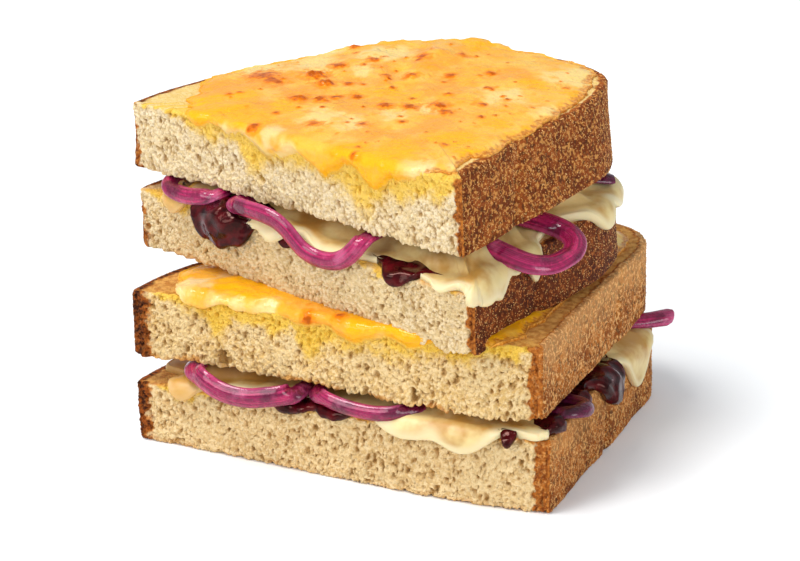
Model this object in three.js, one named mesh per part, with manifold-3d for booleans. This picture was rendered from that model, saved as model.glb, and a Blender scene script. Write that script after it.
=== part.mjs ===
// A grilled cheese sandwich, cut in two and stacked. Each half is two toasted half slices of bread round
// chutney, melted cheese and strips of red onion, with more cheese grilled on its upper slice.
// Millimetres, +Z up. The lower half's cut looks to -Y and its base crust to +X, and it lies on Z = 0.
import * as THREE from "three";
import { ImprovedNoise } from "three/addons/math/ImprovedNoise.js";
import { mergeVertices } from "three/addons/utils/BufferGeometryUtils.js";
import Module from "manifold-3d";

const wasm = await Module();
wasm.setup();
const { lerp, clamp, smoothstep, degToRad } = THREE.MathUtils;

// ---- Driving dimensions ----------------------------------------------------------------------------

const GAP = 0.3; // air left between two pieces that touch
const CORNER = 1.2; // rounding of a slice's upright corners
const CHAMFER = 1; // broken edge round a slice's top and bottom
const CUT_RELIEF = 0.7; // depth of the torn crumb on a cut face
const CRUST_RELIEF = 0.5; // depth of the dents in the crust
const RAGGED = 0.7; // how far the crumb hangs and lifts along a cut's lower edge
const BEND = 1.2; // radius at which cheese or chutney bends over a slice's edge
const SPACING = { cut: 4.5, base: 6, back: 14 }; // distance between points along a slice's outline
const LAY = 0.5; // how high a sheet lies over its slice
const HANG = 0.7; // how far in front of the slice's wall a sheet hangs
const RISE = 16; // how far in from its edge a sheet reaches its full thickness
const HANGING = 3; // how much of what hangs of a sheet may thicken
const CROWN = [15, 23]; // how far in from the edge the top sheet has further points
const STRIP = { sides: 6, step: 3.8, taper: 0.28, ends: 0.12, curl: 0.22 }; // a strip of onion
const UNEVEN = { cut: 3.4, crust: 9, ragged: 2.3, reach: 9, thickness: 6 }; // lengths of the waves in each

// The outline of a half slice: its depth from the cut to the back, how far the base crust runs straight,
// how far from the domed side the back is deepest, how far the back falls away at its far corner, and
// the share of the back's width up to which the domed side stays deep.
const UPPER_SHAPE = { depth: 72, straight: 46, deepest: 68, fall: 1, shoulder: 0.34 };
const LOWER_SHAPE = { depth: 82, straight: 65, deepest: 80, fall: 0, shoulder: 0.49 };

// The slices from top to bottom. "at" is the low left end of the cut; left and right are the thicknesses
// at the two ends of the cut; roll lifts the base crust and pitch the back, in degrees; lean draws the
// base crust in towards the top, flare lets the domed side out towards the bottom, slant brings the
// cut's top edge forward, and tuck and bow are how far the knife's cut waves in and out, in mm.
const SLICES = {
  bread_slice_1: {
    shape: UPPER_SHAPE, width: 93, left: 15.7, right: 17.8, yaw: -14.8, roll: -0.1, pitch: 3.2,
    at: [-55.6, -19.9, 59.8], lean: 3, flare: 1.2, slant: 0.8, tuck: 2, bow: 2,
  },
  bread_slice_2: {
    shape: UPPER_SHAPE, width: 94.6, left: 14.2, right: 14.8, yaw: -14, roll: -2.5, pitch: 3.9,
    at: [-55.2, -19.3, 40.9], lean: 2.3, flare: 0.3, slant: 0.8, tuck: 2, bow: 4.5,
  },
  bread_slice_3: {
    shape: LOWER_SHAPE, width: 99.2, left: 15.2, right: 17, yaw: 0, roll: 0.4, pitch: -0.8,
    at: [-49.5, -36.2, 21.2], lean: 0.6, flare: 0, slant: 0.5, tuck: 3.5, bow: 8,
  },
  bread_slice_4: {
    shape: LOWER_SHAPE, width: 101, left: 14.4, right: 17.5, yaw: 0, roll: 0, pitch: 0,
    at: [-49.2, -36.2, 0], lean: 0.4, flare: -0.6, slant: 0.2, tuck: 0, bow: 5.5,
  },
};

// A scrap of crumb torn out of the low front edge of the third slice: centre and radii.
const NOTCH = { at: [23.2, 0, 1.5], radii: [2.3, 4.5, 4.2] };

// What lies on a slice, as sheets. Distances along an edge start at the left end of the cut, run along
// the cut and go on round the base crust. "short" is how far the sheet's edge stays inside the slice's
// edge; each lobe [at, width, run] pushes the edge out or in by run, and what passes the slice's edge
// hangs down. "edge" and "middle" are thicknesses, "lift" is how far in from the edge it begins to
// thicken, and each swell [at, width, size] thickens the edge.
const SHEETS = {
  grilled_cheese_top: {
    on: "bread_slice_1", short: 1.4, edge: 0.7, middle: 1.4, rough: 0.9, seed: 3, crown: true, rim: 9,
    lobes: [
      [0, 13, -11], [20, 4.5, 5], [29, 6, 4.4], [42, 8, 7.8], [56, 9, 8], [71, 7, 8.2], [79, 5, 5],
      [96, 7, -3], [122, 20, 0.6], [156, 26, -1.8],
    ],
    swells: [[205, 11, 1.7], [228, 12, 0.9]],
  },
  grilled_cheese_middle: {
    on: "bread_slice_3", short: 4.5, edge: 1, middle: 1.5, rough: 0.6, seed: 9, rim: 8,
    lobes: [
      [0, 6, -6], [18, 8, 5.6], [31, 9, 5.8], [44, 10, 7.2], [57, 10, 9], [70, 10, 7.6], [84, 9, 6.2],
      [103, 6, -3.6], [128, 26, -1.4],
    ],
    swells: [[16, 10, 0.9], [32, 9, 0.5], [145, 22, 0.8]],
  },
  melted_cheese_upper: {
    on: "bread_slice_2", short: 3, edge: 1.4, middle: 9, rough: 0.3, seed: 14, lift: 4.5,
    lobes: [
      [2, 5, -8], [11.4, 4.5, 6], [33, 7, 3], [41, 6, 3.4], [57, 8, 3.2], [87, 4, 3.2], [98, 5, 5.4],
      [104, 5.5, 6.4], [111, 4, 4.4], [117.4, 3, 8], [133, 5, -3], [146, 5, 6], [157, 7, 5.4],
    ],
    swells: [[44, 13, 0.8], [99, 6, 1.4], [150, 9, 0.9]],
  },
  melted_cheese_lower: {
    on: "bread_slice_4", short: 3.5, edge: 1.7, middle: 9, rough: 0.3, seed: 21, lift: 4,
    lobes: [
      [2, 5, -8], [13, 5.5, 5.4], [70, 11, 5.2], [82, 9, 6.4], [98, 5, 2.4], [142, 5, 2.5],
      [157, 8, 12.2],
    ],
    swells: [[80, 9, 0.5], [157, 12, -0.6]],
  },
  chutney_upper: {
    on: "bread_slice_2", short: 5, edge: 1.1, middle: 1.2, rough: 0.5, seed: 31,
    lobes: [
      [4, 8, -6], [21.8, 5, 9.4], [27, 6, 10.4], [32, 4.4, 9], [45, 4, 6.8], [55.5, 5, 7],
      [76, 6, 6.6],
    ],
    swells: [[26, 9, 1.8], [76, 6, 0.4]],
  },
  chutney_lower: {
    on: "bread_slice_4", short: 5, edge: 1.1, middle: 1.2, rough: 0.5, seed: 37,
    lobes: [
      [4, 8, -6], [40, 9, 6], [51, 7, 6], [69, 3, 6.6], [92.3, 2.6, 6], [107, 6, 4], [120, 9, 5],
      [138, 7, 9.6],
    ],
    swells: [[92, 3, 0.4], [108, 7, 1.2], [122, 9, 1.4], [138, 8, 2]],
  },
};

// Red onion, softened: each strip runs through these points over its slice and is flat against what it
// lies on. Points are along the cut, into the slice and up from the slice's underside.
const ONIONS = {
  onion_upper_left: {
    on: "bread_slice_2", width: 3.8, thick: 1.8,
    path: [
      [8.6, 10, 17.4], [7.4, 3.6, 17.6], [9, 0.2, 17.2], [12, -1.2, 16.8], [16.1, -1.6, 17],
      [20.5, -1.2, 18], [22.8, 1, 18.6], [22.6, 8, 18.4],
    ],
  },
  onion_upper_front: {
    on: "bread_slice_2", width: 4.2, thick: 1.9,
    path: [
      [30, 8, 18], [28.4, 1, 18.4], [30.4, -2.2, 18.9], [34.3, -3.4, 19.5], [39.2, -3.9, 19.8],
      [43, -4, 19.3], [46, -4.1, 18], [48.6, -4.2, 16], [51.2, -4.2, 14.3], [54.8, -4.1, 13.5],
      [58.8, -4, 13.9], [62, -3.8, 15.6], [64.2, -3.2, 18], [65.4, -2, 20], [65.6, 2, 20.4],
      [65.2, 8, 20],
    ],
  },
  onion_upper_ring: {
    on: "bread_slice_2", width: 5, thick: 2, hoop: true,
    path: [
      [72, 14.4, 20.4], [79, 13.6, 20.2], [85, 13.6, 19.8], [90, 14.6, 18.4], [94.4, 15.6, 17.2],
      [97.4, 17.2, 16.4], [99.6, 20, 16], [100.4, 23.4, 16], [100.2, 27.5, 16.2], [98.2, 31, 17],
      [94, 32.6, 17.8], [88.5, 31.6, 18.8], [81, 29, 19.8],
    ],
  },
  onion_upper_back: {
    on: "bread_slice_2", width: 4.4, thick: 1.8,
    path: [[76.5, 53, 18.8], [81.5, 55, 19], [85.5, 57.4, 18.8], [88.6, 60.6, 18.2]],
  },
  onion_lower_left: {
    on: "bread_slice_4", width: 4.8, thick: 2,
    path: [
      [13.6, 9, 19], [14.2, 2.6, 19.6], [16.4, -1.8, 20], [19.2, -3.8, 19.4], [22.6, -4.4, 18],
      [26.6, -4.7, 17.2], [31, -4.7, 17.3], [35.6, -4.3, 18.2], [39.2, -3.2, 18.9], [41, -0.6, 19.2],
      [41.2, 4, 19.2],
    ],
  },
  onion_lower_front: {
    on: "bread_slice_4", width: 3.6, thick: 1.9,
    path: [
      [45, 5, 19.4], [45.8, -0.8, 19.8], [48.6, -2.8, 19.6], [53, -3.8, 19], [57.6, -4, 18.6],
      [62, -3.8, 18.6], [66.4, -2.6, 19.2], [70, 2, 19.8],
    ],
  },
  onion_lower_side: {
    on: "bread_slice_4", width: 4, thick: 2.2,
    path: [
      [90, 9, 19.6], [97, 9.6, 20], [101.4, 10.6, 20.4], [103.6, 13.6, 20.4], [101.6, 17, 20],
      [95, 18.4, 19.8],
    ],
  },
  onion_lower_back: {
    on: "bread_slice_4", width: 4.8, thick: 3.2,
    path: [[87, 61, 19.8], [93, 63.4, 20], [98.6, 66.4, 20.2], [104, 70.4, 20.8]],
  },
};

const COLOURS = {
  bread: 0xd9bf8d,
  grilled: 0xf3c04c,
  melted: 0xe6dab4,
  chutney: 0x3a0d15,
  onion: 0xa8327a,
};

// ---- Building blocks -------------------------------------------------------------------------------

const noise = new ImprovedNoise();
const ripple = (a, b, seed) => noise.noise(a + 0.37, b + 0.61, seed * 1.7 + 0.13);

// A closed surface through rows of points, each row a loop, with one point closing each end.
function closedSurface(start, rows, end) {
  const positions = [];
  const add = (...points) => points.forEach((p) => positions.push(p.x, p.y, p.z));
  const count = rows[0].length;
  for (let i = 0; i < count; i++) {
    const k = (i + 1) % count;
    add(start, rows[0][k], rows[0][i]);
    for (let j = 0; j + 1 < rows.length; j++) {
      const [a, b, c, d] = [rows[j][i], rows[j][k], rows[j + 1][k], rows[j + 1][i]];
      add(a, b, c, a, c, d);
    }
    add(end, rows.at(-1)[i], rows.at(-1)[k]);
  }
  const geometry = new THREE.BufferGeometry();
  return geometry.setAttribute("position", new THREE.Float32BufferAttribute(positions, 3));
}

function solidOf(geometry) {
  const merged = mergeVertices(geometry, 1e-4);
  const vertProperties = new Float32Array(merged.attributes.position.array);
  const triVerts = new Uint32Array(merged.index.array);
  return new wasm.Manifold(new wasm.Mesh({ numProp: 3, vertProperties, triVerts }));
}

function geometryOf(solid) {
  const mesh = solid.getMesh();
  const geometry = new THREE.BufferGeometry();
  geometry.setAttribute("position", new THREE.Float32BufferAttribute(mesh.vertProperties, 3));
  geometry.setIndex(new THREE.Uint32BufferAttribute(mesh.triVerts, 1));
  const flat = geometry.toNonIndexed();
  flat.computeVertexNormals();
  return flat;
}

// What is left of a solid once others are cut out of it, without the loose scraps.
function cutBy(solid, others) {
  const left = others.reduce((rest, other) => rest.subtract(other), solid);
  return left.decompose().reduce((best, body) => (body.volume() > best.volume() ? body : best));
}

// ---- The slices ------------------------------------------------------------------------------------

// The half slice seen from above, anticlockwise from the left end of the cut: cut, straight base crust,
// rounded corner, back and the domed side. The shares place the handles of its curves.
function outlineOf({ shape, width, tuck, bow }) {
  const { depth, straight, deepest, fall, shoulder } = shape;
  const path = new THREE.Path();
  path.arcLengthDivisions = 400;
  path.moveTo(0, CORNER);
  path.quadraticCurveTo(0, 0, CORNER, 0);
  path.bezierCurveTo(0.33 * width, tuck, 0.78 * width, -bow, width - CORNER, 0);
  path.quadraticCurveTo(width, 0, width, CORNER);
  path.lineTo(width, straight);
  const handle = straight + 0.56 * (depth - straight);
  path.bezierCurveTo(width, handle, lerp(deepest, width, 0.67), depth - fall, deepest, depth);
  path.bezierCurveTo(shoulder * deepest, depth, 2, 0.38 * depth, 0, CORNER);
  return path;
}

class Slice {
  constructor(name, settings) {
    Object.assign(this, { name, ...settings });
    this.outline = outlineOf(settings);
    this.length = this.outline.getLength();
    this.centre = new THREE.Vector2(0.53 * this.width, 0.45 * this.shape.depth);
    this.seed = Number(name.at(-1)) * 11;
    this.stops = this.spread();
    const turn = new THREE.Euler(degToRad(this.pitch), degToRad(-this.roll), degToRad(this.yaw), "ZYX");
    this.matrix = new THREE.Matrix4().makeRotationFromEuler(turn).setPosition(...this.at);
  }

  thickness(u) {
    return lerp(this.left, this.right, clamp(u / this.width, 0, 1));
  }

  // The outline's point and outward direction at a distance from the left end of the cut.
  along(distance) {
    const share = clamp(distance / this.length, 0, 1);
    const point = this.outline.getPointAt(share);
    const tangent = this.outline.getTangentAt(share);
    return { point, normal: new THREE.Vector2(tangent.y, -tangent.x) };
  }

  // A point pushed out from the slice's wall or, if out is negative, drawn in towards the middle. It is
  // so far below (-) or above (+) the slice's upper face. Rough is 1 on the bread's own torn surface and
  // 0 on the smooth one round it.
  place(distance, out, above, rough = 0) {
    const { point, normal } = this.along(distance);
    const share = clamp(1 + above / this.thickness(point.x), 0, 1);
    const isCut = smoothstep(-normal.y, 0.7, 1);
    const isBase = smoothstep(normal.x, 0.5, 1);
    const rise = above / UNEVEN.crust;
    const torn = CUT_RELIEF * (0.5 + 0.9 * ripple(distance / UNEVEN.cut, rise, this.seed));
    const dented = CRUST_RELIEF * (0.5 + ripple(distance / UNEVEN.crust, rise, this.seed + 5));
    const relief = rough * lerp(clamp(dented, 0, 1), clamp(torn, 0, 1), isCut);
    const isDome = smoothstep(-normal.x, 0.3, 0.9);
    const lean = isCut * this.slant * share - isBase * this.lean * share + isDome * this.flare * (1 - share);
    const push = out - relief + lean;
    const way = normal.clone();
    if (push < 0) way.copy(point).sub(this.centre).normalize();
    const there = point.clone().addScaledVector(way, Math.max(push, -point.distanceTo(this.centre)));
    return new THREE.Vector3(there.x, there.y, this.thickness(there.x) + above);
  }

  // Distances at which the slice, and what lies on it, is given points: close together on the cut and
  // the base crust, far apart round the back.
  spread() {
    const baseEnd = this.width + this.shape.straight + SPACING.back; // and a little way round the corner
    const stops = [];
    for (let at = 0; at < this.length - SPACING.back / 2; ) {
      stops.push(at);
      at += at < this.width ? SPACING.cut : at < baseEnd ? SPACING.base : SPACING.back;
    }
    return stops;
  }

  // The bread itself or, grown by a margin on every side, the smooth space that it takes up.
  geometry(grow = 0) {
    const rough = grow === 0 ? 1 : 0;
    const row = (out, above) =>
      this.stops.map((at) => {
        const thick = this.thickness(this.along(at).point.x);
        return this.place(at, out + grow, above(at, thick), rough);
      });
    const onFloor = (rise) => (point) => point.setZ(rise - grow);
    const ragged = this.stops.map((at) => {
      const isCut = smoothstep(-this.along(at).normal.y, 0.7, 1);
      return this.at[2] === 0 ? 0 : isCut * RAGGED * ripple(at / UNEVEN.ragged, 0, this.seed + 2);
    });
    const toFloor = (at, thick) => -thick;
    const rows = [
      row(-6 * CHAMFER, toFloor).map(onFloor(0)),
      row(-CHAMFER, toFloor).map((point, i) => onFloor(ragged[i])(point)),
      row(0, toFloor).map((point, i) => onFloor(ragged[i] + CHAMFER)(point)),
      row(0, (at, thick) => -0.5 * thick),
      row(0, () => grow - CHAMFER),
      row(-CHAMFER, () => grow),
    ];
    const { x, y } = this.centre;
    const bottom = new THREE.Vector3(x, y, -grow);
    const top = new THREE.Vector3(x, y, this.thickness(x) + grow);
    return closedSurface(bottom, rows, top).applyMatrix4(this.matrix);
  }
}

// ---- Sheets of cheese and chutney ------------------------------------------------------------------

// How strong a lobe is at a distance along an outline that closes on itself.
function lobeAt([centre, width, size], at, length) {
  const away = at - centre - length * Math.round((at - centre) / length);
  return size * Math.exp(-((away / width) ** 2));
}

// Where the sheet's edge lies: below 0 it stops short of the slice's edge, above 0 it hangs down.
function reachOf(sheet, slice, at) {
  const runs = sheet.lobes.map((lobe) => lobeAt(lobe, at, slice.length));
  const out = runs.reduce((sum, run) => sum + Math.max(run, 0) ** 4, 0) ** 0.25;
  const back = runs.reduce((sum, run) => sum + Math.min(run, 0), 0);
  return out + back - sheet.short + sheet.rough * ripple(at / UNEVEN.reach, 1, sheet.seed);
}

// A point on the sheet: a run along the slice's surface, counted from its edge and positive once it
// hangs, and a height off that surface. Between the two it bends round the edge.
function drape(slice, at, run, height) {
  const turn = clamp((run + BEND) / (2 * BEND), 0, 1) * (Math.PI / 2);
  if (turn === 0) return slice.place(at, run, height);
  if (run > BEND) return slice.place(at, height, -run);
  const radius = BEND + height;
  return slice.place(at, radius * Math.sin(turn) - BEND, radius * Math.cos(turn) - BEND);
}

// The sheet as a closed solid: under it from the middle out to the tip, round the tip and back over it.
function sheetGeometry(slice, sheet, grow = 0) {
  const { stops } = slice;
  const runs = (reach) => {
    const edge = Math.min(reach, 0) - BEND;
    const bent = Math.min(BEND, lerp(edge, reach, 0.75));
    return [...(sheet.rim ? [edge + BEND - sheet.rim] : []), edge, (edge + bent) / 2, bent, reach];
  };
  const thickAt = (at, run, reach) => {
    const own = sheet.swells.reduce((sum, lobe) => sum + lobeAt(lobe, at, slice.length), sheet.edge);
    const inside = reach - run;
    const place = [at / UNEVEN.thickness, inside / UNEVEN.thickness];
    const uneven = 1 + 0.35 * ripple(...place, sheet.seed + 4);
    const risen = smoothstep(Math.min(inside, HANGING - run), sheet.lift ?? 0, RISE);
    return own * uneven + (sheet.middle - sheet.edge) * risen;
  };
  const reaches = stops.map((at) => reachOf(sheet, slice, at));
  const row = (pick, height) =>
    stops.map((at, i) => drape(slice, at, pick(reaches[i]), height(at, pick(reaches[i]), reaches[i])));
  const off = (run) => lerp(LAY, HANG, smoothstep(run, -BEND, BEND));
  const order = runs(0).map((_, k) => k);
  const under = order.map((k) => row((reach) => runs(reach)[k], (at, run) => off(run) - grow));
  const nose = stops.map((at, i) => {
    const thick = thickAt(at, reaches[i], reaches[i]);
    return drape(slice, at, reaches[i] + 0.45 * thick + grow, off(reaches[i]) + thick / 2);
  });
  const over = order.reverse().map((k) =>
    row((reach) => runs(reach)[k], (at, run, reach) => off(run) + grow + thickAt(at, run, reach)),
  );
  const { x, y } = slice.centre;
  const top = slice.thickness(x) + LAY;
  const crown = (sheet.crown ? CROWN : []).map((inside) =>
    row(() => -inside, (at, run) => LAY + thickAt(at, run, 0)),
  );
  const start = new THREE.Vector3(x, y, top - grow);
  const end = new THREE.Vector3(x, y, top + sheet.middle + grow);
  return closedSurface(start, [...under, nose, ...over, ...crown], end).applyMatrix4(slice.matrix);
}

// ---- Onion strips ----------------------------------------------------------------------------------

// Which way the flat of a strip faces: up over the slice, outwards where it hangs past the edge.
function facing(slice, point) {
  const pastCut = smoothstep(-point.y, -1, 3);
  const pastBase = smoothstep(point.x - slice.width, -1, 6);
  return new THREE.Vector3(0.8 * pastBase, -pastCut, 1.05 - Math.max(pastCut, 0.6 * pastBase)).normalize();
}

function stripGeometry(slice, { path, width, thick, hoop }, grow = 0) {
  const curve = new THREE.CatmullRomCurve3(path.map((p) => new THREE.Vector3(...p)), false, "centripetal");
  const steps = Math.round(curve.getLength() / STRIP.step);
  const rows = [];
  for (let i = 0; i <= steps; i++) {
    const share = i / steps;
    const centre = curve.getPointAt(share);
    const tangent = curve.getTangentAt(share);
    const flat = hoop ? new THREE.Vector3(0.25, -0.5, 0.8) : facing(slice, centre);
    const across = new THREE.Vector3().crossVectors(flat, tangent).normalize();
    const out = new THREE.Vector3().crossVectors(tangent, across).normalize();
    const taper = 1 - STRIP.taper * (1 - smoothstep(Math.min(share, 1 - share), 0, STRIP.ends));
    const wide = (width / 2) * taper + grow;
    const deep = (thick / 2) * taper + grow;
    rows.push(
      Array.from({ length: STRIP.sides }, (_, k) => {
        const angle = ((k + 0.5) / STRIP.sides) * 2 * Math.PI;
        const [c, s] = [Math.cos(angle), Math.sin(angle)];
        const curl = STRIP.curl * thick * (0.5 - c * c);
        const point = centre.clone().addScaledVector(across, wide * c);
        return point.addScaledVector(out, deep * s + curl);
      }),
    );
  }
  const past = (share, sign) =>
    curve.getPointAt(share).addScaledVector(curve.getTangentAt(share), sign * (0.5 + grow));
  return closedSurface(past(0, -1), rows, past(1, 1)).applyMatrix4(slice.matrix);
}

// ---- The sandwich ----------------------------------------------------------------------------------

const slices = Object.fromEntries(Object.entries(SLICES).map(([name, s]) => [name, new Slice(name, s)]));
const solids = {};
const clearances = {}; // each piece grown by the gap, to cut room for it out of the softer ones

for (const [name, slice] of Object.entries(slices)) {
  solids[name] = solidOf(slice.geometry());
  clearances[name] = solidOf(slice.geometry(GAP));
}

const torn = new THREE.IcosahedronGeometry(1, 1).deleteAttribute("normal").deleteAttribute("uv");
torn.scale(...NOTCH.radii).translate(...NOTCH.at).applyMatrix4(slices.bread_slice_3.matrix);
// The corner of the second slice presses into the third.
solids.bread_slice_3 = cutBy(solids.bread_slice_3, [solidOf(torn), clearances.bread_slice_2]);

// The bread is firm, onion gives way to it, chutney to both, and melted cheese to everything.
const bread = Object.values(clearances);
for (const [name, onion] of Object.entries(ONIONS)) {
  solids[name] = cutBy(solidOf(stripGeometry(slices[onion.on], onion)), bread);
  clearances[name] = solidOf(stripGeometry(slices[onion.on], onion, GAP));
}
const breadAndOnion = Object.values(clearances);
const isCheese = (name) => name.includes("cheese");
for (const [name, sheet] of Object.entries(SHEETS).filter(([name]) => !isCheese(name))) {
  solids[name] = cutBy(solidOf(sheetGeometry(slices[sheet.on], sheet)), breadAndOnion);
  clearances[name] = solidOf(sheetGeometry(slices[sheet.on], sheet, GAP + 0.1));
}
const others = [...Object.values(clearances), solids.chutney_upper, solids.chutney_lower];
for (const [name, sheet] of Object.entries(SHEETS).filter(([name]) => isCheese(name))) {
  solids[name] = cutBy(solidOf(sheetGeometry(slices[sheet.on], sheet)), others);
}

const material = (name) => {
  const kind = Object.keys(COLOURS).find((word) => name.includes(word));
  const soft = kind === "bread" ? 0.95 : 0.35;
  return new THREE.MeshStandardMaterial({ color: COLOURS[kind], roughness: soft, metalness: 0 });
};

// Each half is a group that stands where its lower slice stands, with its pieces in that slice's frame.
const sandwich = new THREE.Group();
const halves = { upper: slices.bread_slice_2, lower: slices.bread_slice_4 };
for (const [half, slice] of Object.entries(halves)) {
  const group = new THREE.Group();
  slice.matrix.decompose(group.position, group.quaternion, group.scale);
  const inverse = slice.matrix.clone().invert();
  for (const [name, solid] of Object.entries(solids)) {
    const isUpper = /_1$|_2$|upper|_top$/.test(name);
    if (isUpper !== (half === "upper")) continue;
    const mesh = new THREE.Mesh(geometryOf(solid).applyMatrix4(inverse), material(name));
    mesh.name = name;
    group.add(mesh);
  }
  sandwich.add(group);
}

export default sandwich;
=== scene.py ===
import math

import bpy
import numpy as np
from mathutils import Euler, Matrix, Vector, noise


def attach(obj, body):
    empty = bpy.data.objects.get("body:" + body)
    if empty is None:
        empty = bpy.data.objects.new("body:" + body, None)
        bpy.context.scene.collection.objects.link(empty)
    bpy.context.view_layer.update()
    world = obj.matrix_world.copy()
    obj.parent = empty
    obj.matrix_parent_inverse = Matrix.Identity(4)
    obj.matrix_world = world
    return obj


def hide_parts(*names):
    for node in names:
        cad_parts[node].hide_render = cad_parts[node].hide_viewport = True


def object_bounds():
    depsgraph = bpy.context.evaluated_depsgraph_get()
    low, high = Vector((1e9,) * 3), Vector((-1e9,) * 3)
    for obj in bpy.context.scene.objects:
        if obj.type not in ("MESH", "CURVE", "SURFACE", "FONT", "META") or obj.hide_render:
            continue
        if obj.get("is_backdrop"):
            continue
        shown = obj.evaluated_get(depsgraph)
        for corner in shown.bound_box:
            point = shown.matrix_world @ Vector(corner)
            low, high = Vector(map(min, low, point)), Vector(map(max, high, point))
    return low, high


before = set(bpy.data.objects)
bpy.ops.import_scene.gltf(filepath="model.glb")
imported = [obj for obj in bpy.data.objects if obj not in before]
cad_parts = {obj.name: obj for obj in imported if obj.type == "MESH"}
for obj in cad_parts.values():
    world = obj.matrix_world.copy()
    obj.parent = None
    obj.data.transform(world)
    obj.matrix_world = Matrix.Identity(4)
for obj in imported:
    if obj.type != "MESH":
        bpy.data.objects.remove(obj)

cad_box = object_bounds()

# ---- The bread: four half slices of a white loaf ------------------------------------------------------
# Soft white bread about 16 mm thick, toasted and sawn across the middle, so that the cut is torn into
# grains and small pores. The crust was baked in a floured tin: brown, matt and grainy, with an orange
# edge where the knife went through it.

# Lengths are in mm until a mesh is made. Each slice has the frame of its own half: u along the cut, v
# from the cut to the back and h up from its underside.
MM = 0.001
CORNER = 1.2
# depth is from the cut to the back, and straight how far the right crust runs straight. The back is that
# far off at deepest along the cut. To the right of it the crust falls away by about fall, and to the left
# the dome begins to bend down near shoulder, a share of deepest.
UPPER_SHAPE = dict(depth=72, straight=46, deepest=68, fall=1, shoulder=0.34)
LOWER_SHAPE = dict(depth=82, straight=65, deepest=80, fall=0, shoulder=0.49)
# at is the lower left corner of the cut, and left and right are the thickness at its two ends. Turns are
# in degrees. slant pushes the top of the cut out, lean draws the top of the right crust in and flare
# pushes the foot of the dome out. tuck draws the cut in at a third of its width and bow pushes it out at
# three quarters. ragged is how far tips hang from the lower edge, and tall how much taller than wide
# grains and pores are. crease is how far behind the cut the right crust is creased.
# Shares of a colour: rind is the browned width at the left and right ends of the cut, and burnt how dark
# the left one is. browned is the toast on the lower and upper rims of the cut and on the upper face,
# filmed the fat on that face and dusty the flour baked on the crust. soaked lists the places, widths and
# depths of the streaks of fat in the cut. holes is how many pores are tried for, and notches lists the
# deep tears: place, height, half width and half height.
SLICES = {
    "bread_slice_1": dict(
        shape=UPPER_SHAPE, width=93, left=15.7, right=17.8, at=(-55.6, -19.9, 59.8),
        yaw=-14.8, roll=-0.1, pitch=3.2, lean=3.0, flare=1.2, slant=0.8, tuck=2, bow=2, crease=22,
        seed=1, ragged=1.0, tall=1.5, holes=350, notches=[],
        rind=(1.0, 2.3), burnt=0.6, browned=(0.3, 0.1, 0.2), filmed=0.35, dusty=0.0,
        soaked=[(22, 9, 8), (35, 4, 14), (44, 8, 10), (60, 9, 12), (67, 4, 13), (76, 7, 12), (87, 6, 8)],
    ),
    "bread_slice_2": dict(
        shape=UPPER_SHAPE, width=94.6, left=14.2, right=14.8, at=(-55.2, -19.3, 40.9),
        yaw=-14.0, roll=-2.5, pitch=3.9, lean=2.3, flare=0.3, slant=0.8, tuck=2, bow=4.5, crease=25,
        seed=2, ragged=0.9, tall=1.25, holes=250, notches=[],
        rind=(1.2, 2.3), burnt=0.6, browned=(0.6, 0.5, 0.5), filmed=0.0, dusty=0.0,
        soaked=[(10, 6, 5), (70, 5, 2)],
    ),
    "bread_slice_3": dict(
        shape=LOWER_SHAPE, width=99.2, left=15.2, right=17.0, at=(-49.5, -36.2, 21.2),
        yaw=0, roll=0.4, pitch=-0.8, lean=0.6, flare=0, slant=0.5, tuck=3.5, bow=8, crease=50,
        seed=3, ragged=1.0, tall=1.3, holes=1000, notches=[(23.2, 1.4, 1.3, 3.0), (71, 2.4, 0.7, 1.6)],
        rind=(4.6, 3.3), burnt=1.0, browned=(1.0, 0.2, 0.9), filmed=0.3, dusty=0.35,
        soaked=[
            (15, 6, 6), (21.5, 3, 12), (29, 5, 7), (36, 3, 9), (44, 3.5, 14), (52, 7, 9), (66, 9, 9),
            (82, 8, 7), (93, 5, 4),
        ],
    ),
    "bread_slice_4": dict(
        shape=LOWER_SHAPE, width=101, left=14.4, right=17.5, at=(-49.2, -36.2, 0),
        yaw=0, roll=0, pitch=0, lean=0.4, flare=-0.6, slant=0.2, tuck=0, bow=5.5, crease=38,
        seed=4, ragged=0.75, tall=1.35, holes=600, notches=[],
        rind=(4.2, 4.0), burnt=1.0, browned=(0.5, 0.9, 0.8), filmed=0.0, dusty=0.3,
        soaked=[(12, 5, 5)],
    ),
}


def smooth(x, low, high):
    """0 below low and 1 above high, with a soft change between."""
    t = np.clip((x - low) / (high - low), 0, 1)
    return t * t * (3 - 2 * t)


def ripple(points, size, seed=0):
    """Smooth noise from about -1 to 1 at points, with bumps about size mm wide."""
    places = np.asarray(points, float).reshape(-1, 3) / size + seed * 7.31
    values = np.array([noise.noise(place) for place in places.tolist()])
    return values.reshape(np.shape(points)[:-1]) * 1.4


def beads(points, size, seed):
    """Rounded grains about size mm apart: 1 on top of each and 0 in the seams between them."""
    places = np.asarray(points, float).reshape(-1, 3) / size + seed * 5.17
    near = np.array([noise.voronoi(place)[0][0] for place in places.tolist()])
    return np.sqrt(np.clip(1 - (near / 0.8) ** 2, 0, 1)).reshape(np.shape(points)[:-1])


def curve_points(a, b, c, d, count=60):
    """Points on a curve from a to d, held towards b and c."""
    t = np.linspace(0, 1, count)[:, None]
    return (1 - t) ** 3 * a + 3 * (1 - t) ** 2 * t * b + 3 * (1 - t) * t * t * c + t**3 * d


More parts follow.
